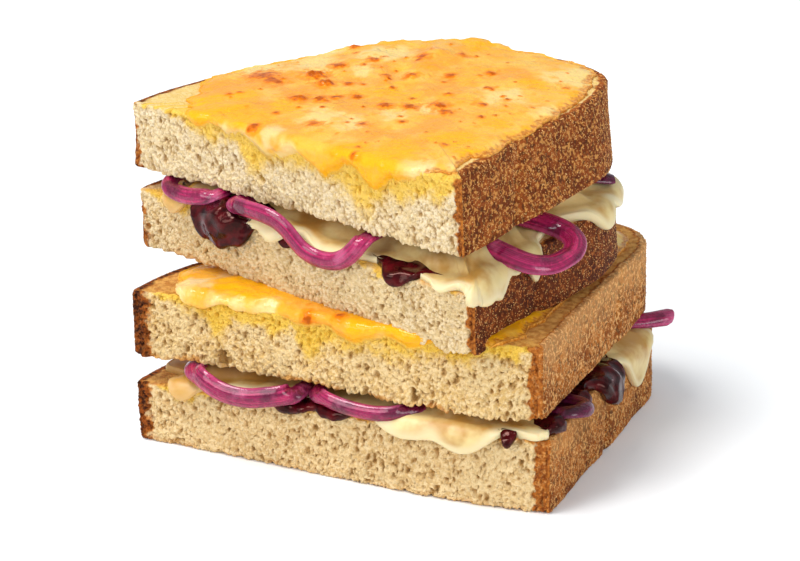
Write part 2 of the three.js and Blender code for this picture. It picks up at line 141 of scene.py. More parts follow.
class Slice:
    """One half slice: its outline, and where a point on or off its surface lies."""

    def __init__(self, settings):
        self.__dict__.update(settings)
        deep, wide, straight = self.shape["depth"], self.width, self.shape["straight"]
        deepest, fall = self.shape["deepest"], self.shape["fall"]

        def corner(a, b, c):
            return curve_points(a, a + (b - a) * 2 / 3, c + (b - c) * 2 / 3, c, 8)

        near = [np.array(p, float) for p in ((0, CORNER), (0, 0), (CORNER, 0))]
        far = [np.array(p, float) for p in ((wide - CORNER, 0), (wide, 0), (wide, CORNER))]
        back = np.array((deepest, deep), float)
        # The cut, the rounded back right corner and the dome are each held towards two points.
        bend = np.array((wide, straight + 0.56 * (deep - straight)))
        bow = np.array((deepest + 0.67 * (wide - deepest), deep - fall))
        held = [np.array((x, y)) for x, y in ((0.33 * wide, self.tuck), (0.78 * wide, -self.bow))]
        path = [
            corner(*near),
            curve_points(near[2], *held, far[0], 120),
            corner(*far),
            curve_points(np.array((wide, straight), float), bend, bow, back),
            curve_points(back, np.array((self.shape["shoulder"] * deepest, deep)),
                         np.array((2, 0.38 * deep)), near[0]),
        ]
        points = np.concatenate(path)
        steps = np.linalg.norm(np.diff(points, axis=0), axis=1)
        keep = np.concatenate([[True], steps > 1e-6])
        self.points = points[keep]
        self.run = np.concatenate([[0], np.cumsum(np.linalg.norm(np.diff(self.points, axis=0), axis=1))])
        self.length = self.run[-1]
        self.centre = np.array((0.53 * wide, 0.45 * deep))
        turn = Euler([math.radians(a) for a in (self.pitch, -self.roll, self.yaw)], "XYZ")
        self.matrix = np.array(Matrix.Translation(self.at) @ turn.to_matrix().to_4x4())

    def thickness(self, u):
        return self.left + (self.right - self.left) * np.clip(u / self.width, 0, 1)

    def along(self, distance):
        """Points and outward directions at distances from the left end of the cut."""

        def at(run):
            return np.stack([np.interp(run, self.run, self.points[:, k]) for k in (0, 1)], -1)

        distance = np.clip(distance, 0.02, self.length - 0.02)
        ahead = at(distance + 0.02) - at(distance - 0.02)
        ahead /= np.linalg.norm(ahead, axis=-1, keepdims=True)
        return at(distance), np.stack([ahead[..., 1], -ahead[..., 0]], -1)

    def place(self, distance, out, above, relief=0.0):
        """Points pushed out from the wall, or in towards the middle, and above the upper face."""
        distance, out, above, relief = np.broadcast_arrays(distance, out, above, relief)
        point, normal = self.along(distance)
        share = np.clip(1 + above / self.thickness(point[..., 0]), 0, 1)
        is_cut = smooth(-normal[..., 1], 0.7, 1)
        is_base = smooth(normal[..., 0], 0.5, 1)
        is_dome = smooth(-normal[..., 0], 0.3, 0.9)
        lean = is_cut * self.slant * share - is_base * self.lean * share
        lean += is_dome * self.flare * (1 - share)
        push = out + lean
        inward = point - self.centre
        reach = np.linalg.norm(inward, axis=-1)
        way = np.where((push < 0)[..., None], inward / reach[..., None], normal)
        there = point + way * np.maximum(push, -reach)[..., None] - normal * relief[..., None]
        return np.concatenate([there, (self.thickness(there[..., 0]) + above)[..., None]], -1)

    def to_row(self, points):
        """Points of this slice's frame in the whole object's frame."""
        return points @ self.matrix[:3, :3].T + self.matrix[:3, 3]


def mesh_of_rows(name, start, rows, end, attributes):
    """A closed mesh through rows of points that run round, closed by one point at each end."""
    count, across = rows.shape[:2]
    points = np.concatenate([[start], rows.reshape(-1, 3), [end]]) * MM
    here = 1 + np.arange(count * across).reshape(count, across)
    beside = np.roll(here, -1, axis=1)
    last = count * across + 1
    faces = np.stack([here[:-1], beside[:-1], beside[1:], here[1:]], -1).reshape(-1, 4).tolist()
    faces += [(0, b, a) for a, b in zip(here[0].tolist(), beside[0].tolist())]
    faces += [(last, a, b) for a, b in zip(here[-1].tolist(), beside[-1].tolist())]
    mesh = bpy.data.meshes.new(name)
    mesh.from_pydata(points.tolist(), [], faces)
    mesh.polygons.foreach_set("use_smooth", np.ones(len(mesh.polygons), bool))
    for label, values in attributes.items():
        layer = mesh.attributes.new(label, "FLOAT", "POINT")
        flat = np.concatenate([[values[0].mean()], values.reshape(-1), [values[-1].mean()]])
        layer.data.foreach_set("value", flat.astype(np.float32))
    mesh.update()
    return mesh


def show(mesh, material, node=None):
    """Puts a finished mesh in the scene, in place of the frame's own solid where it has one."""
    piece = bpy.data.objects.new(mesh.name, mesh)
    bpy.context.scene.collection.objects.link(piece)
    mesh.materials.clear()
    mesh.materials.append(material)
    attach(piece, "root")
    if node:
        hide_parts(node)


# Half widths of the pores, and distances between the grains of the torn crumb.
SMALLEST_PORE, LARGEST_PORE = 0.14, 0.72
GRAIN, FINE_GRAIN = 0.8, 0.45
# A notch leans by an angle and goes in deeper than a pore.
NOTCH_TILT, NOTCH_DEPTH = 0.1, 2.2
# Distances between the columns of points on the cut, the right crust and the dome.
CUT_STEP, SIDE_STEP, DOME_STEP = 0.175, 0.42, 0.8
# Rows of points go up the wall, round a small rim and in over both faces.
WALL_ROWS = 84
RIM_RADIUS = 0.6
FACE_INSETS = (26, 18, 12, 8.5, 6, 4.4, 3.1, 2.1, 1.3)


def pore_list(bread, rng):
    """Pores torn open by the cut: u, h, half width, half height and tilt of each, clear of the others."""
    found = np.zeros((0, 5))
    span = LARGEST_PORE - SMALLEST_PORE
    sizes = np.sort(SMALLEST_PORE + span * rng.random(bread.holes) ** 3)[::-1]
    for size in sizes:
        u = rng.uniform(0.5, bread.width - 0.5)
        h = rng.uniform(0.2, bread.thickness(u) - 0.2)
        if len(found):
            apart = np.hypot(found[:, 0] - u, (found[:, 1] - h) / bread.tall)
            if (apart < 1.15 * (found[:, 2] + size)).any():
                continue
        stretch = bread.tall * rng.uniform(0.8, 1.6)
        found = np.vstack([found, (u, h, size, size * stretch, rng.normal(0, 0.3))])
    return found


class Skin:
    """The points of a slice's skin, in columns round it and rows from its underside up and over it."""

    def __init__(self, bread):
        self.bread = bread
        side_end = bread.width + bread.shape["straight"] + 18
        self.distance = np.concatenate([
            np.arange(0, bread.width, CUT_STEP),
            np.arange(bread.width, side_end, SIDE_STEP),
            np.arange(side_end, bread.length - 0.5, DOME_STEP),
        ])
        self.point, self.normal = bread.along(self.distance)
        self.thick = bread.thickness(self.point[:, 0])
        self.is_cut = smooth(-self.normal[:, 1], 0.7, 1)
        # Each row is an inset from the wall and a height above the underside.
        angles = np.radians([25, 50, 75])
        insets = np.array(FACE_INSETS)
        wall = np.linspace(0, 1, WALL_ROWS)
        bend_in, bend_up = RIM_RADIUS * (1 - np.sin(angles)), RIM_RADIUS * (1 - np.cos(angles))
        inset = np.concatenate([insets, bend_in, 0 * wall, bend_in[::-1], insets[::-1]])
        self.inset = np.repeat(inset[:, None], len(self.distance), 1)
        low = np.concatenate([0 * insets, bend_up])[:, None] + 0 * self.thick
        middle = RIM_RADIUS + wall[:, None] * (self.thick - 2 * RIM_RADIUS)
        self.height = np.concatenate([low, middle, self.thick - low[::-1]])
        around = np.repeat(self.point[None], len(self.height), 0)
        self.solid = np.concatenate([around, self.height[..., None]], -1)
        self.line = np.concatenate([self.point, np.full((len(self.point), 1), 3.0)], -1)

    def noise(self, size, kind):
        """Smooth noise over the skin. Each kind is a pattern of its own."""
        return ripple(self.solid, size, self.bread.seed + kind)

    def edge_noise(self, size, kind):
        """Smooth noise that changes only along the edge."""
        return ripple(self.line, size, self.bread.seed + kind)


def pits(skin, cut, spots, rng):
    """How deep the pores and notches go at each point of the cut, in mm."""
    bread, along, height = skin.bread, skin.distance[:cut], skin.height[:, :cut]
    deep = np.zeros(height.shape)
    swirl_u = 0.42 * ripple(spots, 0.9, bread.seed + 20)
    swirl_h = 0.42 * ripple(spots, 0.9, bread.seed + 21)
    pores = [(*pore, min(0.2 + 0.9 * pore[2], 0.8)) for pore in pore_list(bread, rng)]
    pores += [(u, h, wide, tall, NOTCH_TILT, NOTCH_DEPTH) for u, h, wide, tall in bread.notches]
    for u, h, half_wide, half_tall, tilt, depth in pores:
        low, high = np.searchsorted(along, (u - 1.3 * half_tall - 0.5, u + 1.3 * half_tall + 0.5))
        du = along[low:high][None, :] + swirl_u[:, low:high] - u
        dh = height[:, low:high] + swirl_h[:, low:high] - h
        x = (du * math.cos(tilt) + dh * math.sin(tilt)) / half_wide
        y = (dh * math.cos(tilt) - du * math.sin(tilt)) / half_tall
        bowl = np.clip(1 - (x * x + y * y), 0, 1) ** 0.6
        deep[:, low:high] = np.maximum(deep[:, low:high], bowl * depth)
    return deep


def torn_crumb(skin):
    """How deep the torn cut is: grains with seams between them, and pores."""
    bread = skin.bread
    rng = np.random.default_rng(bread.seed)
    cut = np.searchsorted(skin.distance, bread.width)
    spots = skin.solid[:, :cut] / (1, 1, bread.tall)
    seams = 1 - beads(spots, GRAIN, bread.seed + 9)
    specks = 1 - beads(spots, FINE_GRAIN, bread.seed + 5)
    uneven = 1 + 0.6 * ripple(spots, 2.1, bread.seed + 17)
    torn = np.zeros(skin.height.shape)
    torn[:, :cut] = 0.05 + 0.55 * seams * uneven + 0.42 * specks + pits(skin, cut, spots, rng)
    torn[:, :cut] += 0.2 * ripple(spots, 2.6, bread.seed + 7)
    return torn


def dented_crust(skin):
    """How deep the crust is dented, creased where the loaf leaned on its tin, and nicked by the cut."""
    bread, distance = skin.bread, skin.distance
    dents = 0.25 + 0.4 * skin.noise(12, 2) + 0.1 * skin.noise(1.1, 4)
    crease_at = bread.width + bread.crease + 0.25 * (skin.height - skin.thick / 2)
    dents += 0.7 * np.exp(-(((distance - crease_at) / 1.6) ** 2))
    corner = np.exp(-(((distance - bread.width - 1) / 1.6) ** 2))
    return dents + 0.45 * corner * skin.noise(0.9, 18)


def uneven_edges(skin):
    """How far tips of crumb hang from the lower edge of the cut, and how rough the upper edge is."""
    bread, inset, height = skin.bread, skin.inset, skin.height
    tips = 0.6 - 1.3 * beads(skin.line, 1.1, bread.seed) + 0.65 * skin.edge_noise(3.6, 3)
    on_table = bread.at[2] == 0
    if on_table:
        tips = np.abs(tips)
    hang = bread.ragged * skin.is_cut * tips * smooth(height, 2.4, 0.3) * smooth(inset, 4, 0.5)
    rough = 0.35 * skin.is_cut * skin.edge_noise(1.4, 8) * smooth(skin.thick - height, 1.8, 0.3)
    face = smooth(inset, 0.5, 2) * ripple(skin.solid + inset[..., None], 2.4, bread.seed + 6)
    return hang + rough * smooth(inset, 3, 0.5) + (0 if on_table else 0.2 * face)


def bread_marks(skin, torn):
    """What the skin is at each point: crust or crumb, toasted, soaked with fat, painted shade where it is
    sunk in pores, scorched, floury.
    """
    bread, inset, height, is_cut = skin.bread, skin.inset, skin.height, skin.is_cut
    from_top = skin.thick - height
    on_top, underneath = height > skin.thick / 2, height < skin.thick / 2
    uneven = skin.noise(2.6, 12) + 0.5 * skin.noise(1.0, 13)
    from_left = skin.point[:, 0] + 1.3 * uneven
    from_right = bread.width - skin.point[:, 0] + 0.9 * uneven
    left_rind = bread.burnt * smooth(from_left, bread.rind[0] + 1.0, bread.rind[0] * 0.35 - 0.4)
    right_rind = 0.72 * smooth(from_right, bread.rind[1] + 0.4, bread.rind[1] - 0.9)
    on_cut = is_cut * smooth(inset, 1.2, 0.5)
    wall = (1 - is_cut) * smooth(inset + 0.6 * uneven, 2.4, 1.0)
    patchy = smooth(skin.edge_noise(7, 15) + 0.5 * skin.edge_noise(1.6, 16), -0.7, 0.5)
    lower = bread.browned[0] * patchy * smooth(height + 0.5 * uneven, 1.6, 0.4)
    upper = bread.browned[1] * smooth(from_top + 0.4 * uneven, 0.9, 0.2)
    faces = bread.browned[2] * smooth(inset, 0.6, 1.3) * on_top + 0.6 * smooth(inset, 0.6, 1.3) * underneath
    streaks = sum(deep * np.exp(-(((skin.point[:, 0] - u) / wide) ** 2)) for u, wide, deep in bread.soaked)
    soaked = is_cut * smooth(from_top + 1.5 * uneven, streaks + 1, -2)
    dome_rim = smooth(-skin.normal[:, 0], 0.2, 0.8) * smooth(inset + 0.8 * uneven, 4, 1.5)
    return dict(
        crust=np.maximum(wall, on_cut * np.maximum(left_rind, right_rind)),
        toast=np.maximum(np.maximum(lower, upper), faces),
        soaked=np.maximum(soaked, bread.filmed * smooth(inset, 0.8, 2.0) * on_top),
        # Painted shade: the deeper a pore or seam of the cut goes, the darker it is painted.
        pore_shade=np.clip(is_cut * torn / 1.4, 0, 1),
        scorched=bread.burnt * np.maximum(on_cut * left_rind, dome_rim),
        paler=bread.dusty * (1 - is_cut) * smooth(from_top + 3 * uneven, 12, 1),
        outer=(1 - is_cut) * smooth(inset, 1.0, 0.0) + 0 * height,
    )


def bread_mesh(name, bread):
    """The skin of a slice: from the middle of its underside out, up its wall and back over it."""
    skin = Skin(bread)
    torn = torn_crumb(skin)
    relief = (skin.is_cut * torn + (1 - skin.is_cut) * dented_crust(skin)) * smooth(skin.inset, 2.5, 0.2)
    placed = bread.place(skin.distance[None], -skin.inset, skin.height - skin.thick, relief)
    placed[..., 2] += uneven_edges(skin)
    mid = bread.centre
    start, end = (bread.to_row(np.array((*mid, up))) for up in (0.0, bread.thickness(mid[0])))
    return mesh_of_rows(name, start, bread.to_row(placed), end, bread_marks(skin, torn))


def linear(code):
    """The linear colour of an sRGB hex code."""
    parts = [int(code[k : k + 2], 16) / 255 for k in (1, 3, 5)]
    return [c / 12.92 if c <= 0.04045 else ((c + 0.055) / 1.055) ** 2.4 for c in parts] + [1.0]


def feed(tree, node, inputs):
    """Sets or links a node's inputs. A node given as a value lends its first output that is in use."""
    for key, value in inputs.items():
        if isinstance(value, bpy.types.Node):
            value = next(socket for socket in value.outputs if socket.enabled)
        if isinstance(value, bpy.types.NodeSocket):
            tree.links.new(value, node.inputs[key])
        elif isinstance(value, str) and value.startswith("#"):
            node.inputs[key].default_value = linear(value)
        else:
            node.inputs[key].default_value = value


def add(tree, kind, inputs=None, **settings):
    """Adds a node to a tree with its settings and inputs."""
    made = tree.nodes.new(kind)
    for key, value in settings.items():
        setattr(made, key, value)
    feed(tree, made, inputs or {})
    return made


def pattern(tree, what):
    """A value over a surface: its mesh's own, by label, or noise, by its grain in mm and its detail."""
    if isinstance(what, str):
        return add(tree, "ShaderNodeAttribute", attribute_name=what).outputs["Fac"]
    if isinstance(what, tuple):
        where = add(tree, "ShaderNodeTexCoord").outputs["Object"]
        size, detail = what
        spread = {"Vector": where, "Scale": 1 / (size * MM), "Detail": detail}
        return add(tree, "ShaderNodeTexNoise", spread)
    return what


def laid_over(tree, colour, *layers):
    """A colour with others over it: each comes in as its pattern goes from low to high, up to most."""
    for what, low, high, most, over in layers:
        reach = {"Value": pattern(tree, what), "From Min": low, "From Max": high, "To Max": most}
        share = add(tree, "ShaderNodeMapRange", reach, interpolation_type="SMOOTHSTEP")
        colour = add(tree, "ShaderNodeMix", {0: share, 6: colour, 7: over}, data_type="RGBA")
    return colour


def new_material(name):
    """A new material, its node tree and its shader."""
    material = bpy.data.materials.new(name)
    material.use_nodes = True
    tree = material.node_tree
    return material, tree, tree.nodes["Principled BSDF"]


def bread_material(name, crust_dark, crust_light, crust_fleck, crumb_light, crumb_dark):
    """Torn white crumb, tin-baked crust and toasted rims: all matt, rough and dusty."""
    # Flecks of meal and grains of crumb are drawn near 1 mm, coarser than real ones, so that they show.
    material, tree, shader = new_material(name)
    fried = laid_over(tree, "#B8702A", ((1.6, 3), 0.35, 0.62, 1, "#DCA050"))
    skin = laid_over(
        tree, crumb_light,
        ((0.9, 3), 0.38, 0.62, 1, crumb_dark),
        ((8, 2), 0.4, 0.7, 0.5, "#E8CC98"),
        # Painted shade: olive brown in the pores and seams of the torn crumb, by how deep they are.
        ("pore_shade", 0.2, 0.85, 0.85, "#AE8040"),
        ("soaked", 0.05, 0.6, 0.85, "#EFC03A"),
        ("toast", 0.1, 0.95, 0.9, fried),
    )
    brown = laid_over(
        tree, crust_dark,
        ((5, 4), 0.36, 0.64, 1, crust_light),
        ((0.8, 3), 0.5, 0.62, 0.85, crust_fleck),
        ((1.1, 3), 0.47, 0.37, 0.8, "#54280A"),
    )
    paler = {0: pattern(tree, "paler"), 6: brown, 7: crust_fleck}
    floury = add(tree, "ShaderNodeMix", paler, data_type="RGBA")
    amber = laid_over(tree, "#86400C", ((0.9, 3), 0.35, 0.65, 1, "#CC7A2C"))
    char = laid_over(tree, "#3A1404", ((1.1, 3), 0.4, 0.6, 1, "#964A12"))
    colour = laid_over(
        tree, skin,
        ("crust", 0.05, 0.5, 1, amber),
        ("crust", 0.5, 0.95, 1, floury),
        ("scorched", 0.2, 0.9, 0.95, char),
    )
    # The crust is coarser than the crumb.
    coarse = {0: pattern(tree, (1.2, 2)), 1: pattern(tree, "crust"), 2: pattern(tree, (0.5, 3))}
    relief = add(tree, "ShaderNodeMath", coarse, operation="MULTIPLY_ADD")
    bump = add(tree, "ShaderNodeBump", {"Height": relief, "Strength": 1.0, "Distance": 0.6 * MM})
    feed(tree, shader, {"Base Color": colour, "Normal": bump, "Roughness": 0.8, "Specular IOR Level": 0.2})
    return material


def flour_material():
    """Flour and fine meal from the tin, baked to pale gold grains that catch the light."""
    material, tree, shader = new_material("baked_on_flour")
    colour = laid_over(tree, "#B8793C", ((1.2, 2), 0.35, 0.65, 1, "#E9B872"))
    feed(tree, shader, {"Base Color": colour, "Roughness": 0.6})
    return material


def new_tree(name, given, sizes, made):
    """A Geometry Nodes tree that takes a geometry, sizes and a seed, and its inputs inside the tree."""
    tree = bpy.data.node_groups.new(name, "GeometryNodeTree")
    tree.interface.new_socket(given, in_out="INPUT", socket_type="NodeSocketGeometry")
    for label in sizes:
        tree.interface.new_socket(label, in_out="INPUT", socket_type="NodeSocketFloat")
    tree.interface.new_socket("Seed", in_out="INPUT", socket_type="NodeSocketInt")
    tree.interface.new_socket(made, in_out="OUTPUT", socket_type="NodeSocketGeometry")
    return tree, add(tree, "NodeGroupInput").outputs


def flour_tree(material):
    """Geometry Nodes that scatter grains on the crust, thicker in some places than in others."""
    sizes = ("Grains per Square mm", "Smallest", "Largest", "Patch Size")
    tree, given = new_tree("flour_on_crust", "Bread", sizes, "Flour")
    scale = add(tree, "ShaderNodeMath", {0: 1.0, 1: given["Patch Size"]}, operation="DIVIDE")
    patches = add(tree, "ShaderNodeTexNoise", {"Scale": scale, "Detail": 2.0})
    share = add(
        tree, "ShaderNodeMapRange",
        {"Value": patches, "From Min": 0.35, "From Max": 0.65, "To Min": 0.35, "To Max": 1.0},
    )
    density = add(
        tree, "ShaderNodeMath", {0: given["Grains per Square mm"], 1: 1 / MM**2}, operation="MULTIPLY"
    )
    outer = add(tree, "GeometryNodeInputNamedAttribute", {"Name": "outer"}, data_type="FLOAT")
    for factor in (share, outer):
        density = add(tree, "ShaderNodeMath", {0: density, 1: factor}, operation="MULTIPLY")
    spread = add(
        tree, "GeometryNodeDistributePointsOnFaces",
        {"Mesh": given["Bread"], "Density": density, "Seed": given["Seed"]}, distribute_method="RANDOM",
    )
    ball = add(tree, "GeometryNodeMeshIcoSphere", {"Radius": 1.0, "Subdivisions": 1})
    size = add(
        tree, "FunctionNodeRandomValue",
        {"Min": given["Smallest"], "Max": given["Largest"], "Seed": given["Seed"]}, data_type="FLOAT",
    )
    placed = add(
        tree, "GeometryNodeInstanceOnPoints",
        {"Points": spread, "Instance": ball, "Rotation": spread.outputs["Rotation"], "Scale": size},
    )
    real = add(tree, "GeometryNodeRealizeInstances", {"Geometry": placed})
    finish = add(tree, "GeometryNodeSetMaterial", {"Geometry": real, "Material": material})
    add(tree, "NodeGroupOutput", {"Flour": finish})
    return tree


def grown(name, mesh, tree, values):
    """The plain mesh that a tree makes of another mesh."""
    holder = bpy.data.objects.new(name, mesh)
    bpy.context.scene.collection.objects.link(holder)
    modifier = holder.modifiers.new("tree", "NODES")
    modifier.node_group = tree
    sockets = {s.name: s.identifier for s in tree.interface.items_tree if s.in_out == "INPUT"}
    for label, value in values.items():
        modifier[sockets[label]] = value
    bpy.context.view_layer.update()
    graph = bpy.context.evaluated_depsgraph_get()
    made = bpy.data.meshes.new_from_object(holder.evaluated_get(graph))
    bpy.data.objects.remove(holder)
    made.name = name
    return made


slices = {name: Slice(settings) for name, settings in SLICES.items()}
# The crust's dark, light and fleck, and the crumb's light and dark. The upper half's crusts are darker.
loaf_colours = {
    "bread_slice_1": ("#743208", "#A0501A", "#E09C50", "#F2DDB8", "#E0C492"),
    "bread_slice_2": ("#4A1B08", "#733410", "#AC602C", "#EED5AA", "#DABA84"),
    "bread_slice_3": ("#984F16", "#C0702A", "#F4BE78", "#F1D29C", "#DDB572"),
    "bread_slice_4": ("#86420F", "#B86826", "#EAB068", "#EDD09E", "#D9B47A"),
}
flour = flour_material()
dusting = flour_tree(flour)
for name, bread in slices.items():
    mesh = bread_mesh(name + "_torn", bread)
    loaf = bread_material("toasted_tin_loaf_" + name[-1], *loaf_colours[name])
    show(mesh, loaf, name)
    # Real grains are under 0.1 mm across. These are drawn 0.14 to 0.34 mm across, so that they show.
    amounts = {
        "Grains per Square mm": 2.4, "Smallest": 0.07 * MM, "Largest": 0.17 * MM, "Patch Size": 5 * MM,
        "Seed": bread.seed,
    }
    show(grown(name + "_flour", mesh, dusting, amounts), flour)

# ---- Grilled cheese on each half ----------------------------------------------------------------------
# Grated cheddar, melted and browned under a grill. It runs down over the cut in a thin uneven lip that
# sinks into the pores, with blisters where it bubbled, pools of gold fat and pale curd between.

# A sheet bends over the slice's edge with the radius BEND. It lies GAP off the slice on top of it, and
# HANGING_GAP off where it hangs over the edge.
BEND = 1.2
GAP = 0.3
HANGING_GAP = 0.5
# A sheet has its own rings of points this far in from its lip, and its rise to the thickness in the
# middle ends RISE from the edge. TOP_RINGS more cover the whole slice.
TUCKED = 13
RISE = 16
TOP_RINGS = 74
# The lip of grilled cheese sinks this far into the pores of the cut.
LIP_SUNK = 1.2
CREAM_SEED, RIGHT_SEED, SHORE_SEED = 35, 72, 71
# short is how far the sheet stops before the edge of the slice, edge and middle its thickness there, and
# thin the share of it left at the lip. rough and frayed are how uneven the lip is, in long and in short
# waves. lift is how far in the sheet begins to rise, crown says that it covers the whole slice, and step
# is the distance between columns of points.
# A lobe is a place along the edge, a width and how far the sheet runs out there. A swell is the same
# with an added thickness. Spots are u, v, radius: pale curd, cream where it is thin, tan where the grill
# was strong, and gold pools of fat. Blisters and burnt spots also have a height, and freckles is how many
# small blisters there are.
GRILLED = {
    "grilled_cheese_top": dict(
        on="bread_slice_1", short=1.4, edge=0.7, middle=1.4, thin=0.2, rough=0.9, frayed=0.7, seed=3,
        lift=0, crown=True, step=0.5,
        lobes=[
            (0, 13, -11), (20, 4.5, 5), (29, 6, 4.4), (42, 8, 7.8), (56, 9, 8), (71, 7, 8.2),
            (79, 5, 5), (96, 7, -3), (122, 20, 0.6), (156, 26, -1.8),
        ],
        swells=[(205, 11, 1.7), (228, 12, 0.9)],
        pale=[
            (22, 38, 6), (20, 46, 4), (34, 49, 6), (27, 33, 3), (36, 37, 3), (46, 11, 4.5), (54, 11, 4),
            (58, 20, 3.5), (64, 26, 3), (73, 42, 5), (81, 62, 7), (76, 58, 5), (82, 0, 4), (88, 6, 4),
            (88, 40, 5), (12, 30, 5), (90, 20, 3), (90, 14, 3),
        ],
        cream=[(46, -6, 4), (36, -4, 4.5), (30, -4, 3.5), (41, -1, 3), (52, -9, 3), (84, -1, 3)],
        tan=[
            (15, 16, 8), (22, 22, 8), (25, 42, 4), (44, 52, 7), (49, 60, 5), (40, 38, 7), (51, 47, 6),
            (58, 38, 8), (30, 10, 7), (42, 2, 5), (70, 22, 6), (66, 54, 5), (70, 10, 7), (34, 20, 7),
            (48, 20, 6), (24, 12, 8), (60, 8, 6),
        ],
        gold=[
            (75, 51, 3.4), (85, 52, 2.6), (81, 27, 4), (89, 29, 3), (80, 15, 5.5), (73, 3, 6.5),
            (66, -2, 6), (72, -9, 5.5), (60, -5, 4.5), (24, 6, 6), (31, 5, 5), (20, 1, 4), (56, 27, 5),
            (63, 33, 3), (50, 30, 3.4), (35, 12, 4), (86, 12, 4), (48, 66, 5), (18, 8, 4), (22, 14, 3),
        ],
        blisters=[
            (28, 31, 2.9, 0.8), (33.5, 27.5, 2.3, 0.7), (34.4, 17.3, 2.3, 0.5), (39, 19.3, 2.0, 0.4),
            (41, 22, 1.6, 0.3), (28.8, 38.3, 1.9, 0.3), (34.4, 44.3, 1.5, 0.5), (45, 24.5, 1.6, 0.4),
            (17.5, 25, 3.4, 0.1), (22, 23.5, 2.6, 0.1), (38.1, 30.5, 1.4, 0.3), (54, 23.5, 1.9, 0.3),
            (59.5, 25.5, 1.8, 0.4), (64.5, 29, 2.2, 0.4), (68, 27, 1.6, 0.3), (62, 52, 1.4, 0.4),
            (55, 46, 1.6, 0.3), (48, 40.5, 1.6, 0.3), (43, 38, 1.2, 0.2), (36, 0, 1.4, 0.2),
            (47, 7, 1.5, 0.1), (62, 36, 1.0, 0.3), (44, 50, 1.6, 0.2), (57, 12, 1.3, 0.1),
            (67, 44, 1.2, 0.2), (72, 35, 1.2, 0.2), (50, 57, 1.4, 0.3), (36, 8, 0.9, 0.2),
        ],
        burnt=[(55.2, -10.3, 0.8, 0.1), (57.2, -10.8, 0.9, 0.1), (66.5, -12.5, 0.7, 0.1)],
        freckles=80,
    ),
    "grilled_cheese_middle": dict(
        on="bread_slice_3", short=4.5, edge=1.0, middle=1.5, thin=0.2, rough=0.6, frayed=0.4, seed=9,
        lift=0, step=0.6,
        lobes=[
            (0, 6, -6), (18, 8, 5.6), (31, 9, 5.8), (44, 10, 7.2), (57, 10, 9), (70, 10, 7.6),
            (84, 9, 6.2), (103, 6, -3.6), (128, 26, -1.4),
        ],
        swells=[(16, 10, 0.9), (32, 9, 0.5), (145, 22, 0.8)],
        pale=[(60, -7, 4), (91, 36, 5), (91, 46, 6), (91, 56, 6), (90, 66, 7)],
        cream=[(13, 4, 5), (12, -2, 6), (34, -3, 5), (38, -6, 4), (24, -3, 5)],
        tan=[(46, -2, 6), (54, -2, 5), (50, 4, 7), (62, -2, 4)],
        gold=[
            (24, 7, 6), (30, 5, 6), (20, 6, 4), (67, -3, 7), (58, -3, 5), (76, -4, 5), (84, 2, 6),
            (90, 10, 7), (90, 22, 6),
        ],
        blisters=[(45, -2, 1.6, 0.2), (52, -1, 1.2, 0.2), (63, 0, 1.2, 0.2)],
        burnt=[],
        freckles=20,
    ),
}


def lobe_at(lobe, at, length):
    """How much of a lobe there is at places along the edge, which closes on itself."""
    centre, width, size = lobe
    away = at - centre - length * np.round((at - centre) / length)
    return size * np.exp(-((away / width) ** 2))


def drape(bread, at, run, height):
    """Points on a sheet: run past the slice's edge and height off the slice, bent round the edge."""
    turn = np.clip((run + BEND) / (2 * BEND), 0, 1) * (math.pi / 2)
    radius = BEND + height
    flat = bread.place(at, np.minimum(run, 0), height)
    hung = bread.place(at, height, -np.maximum(run, 0))
    bent = bread.place(at, radius * np.sin(turn) - BEND, radius * np.cos(turn) - BEND)
    return np.where((turn == 0)[..., None], flat, np.where((run > BEND)[..., None], hung, bent))


def patch(places, spots, seed):
    """How far points belong to listed spots, 0 to 1, with uneven outlines."""
    inside = np.zeros(places.shape[:-1])
    wander = 0.5 * ripple(places, 4.2, seed) + 0.25 * ripple(places, 1.6, seed + 1)
    for u, v, radius in spots:
        away = np.hypot(places[..., 0] - u, places[..., 1] - v) / radius
        inside = np.maximum(inside, smooth(away + wander, 1.45, 0.4))
    return inside


def bubbles(places, spots, seed):
    """Bubbles that burst under the grill: how high and how brown they are, and the gold round them."""
    rise, brown, halo = (np.zeros(places.shape[:-1]) for _ in range(3))
    wander = 0.45 * ripple(places, 1.5, seed) + 0.3 * ripple(places, 0.6, seed + 1)
    for u, v, radius, tall in spots:
        away = np.hypot(places[..., 0] - u, (places[..., 1] - v) * 1.15) / radius
        rise = np.maximum(rise, tall * np.exp(-((away / 0.8) ** 4)))
        brown = np.maximum(brown, smooth(away + wander, 1.3, 0.35))
        halo = np.maximum(halo, smooth(away + 1.5 * wander, 2.1, 0.9))
    return rise * (1 + 0.5 * ripple(places, 0.8, seed + 2)), brown, halo


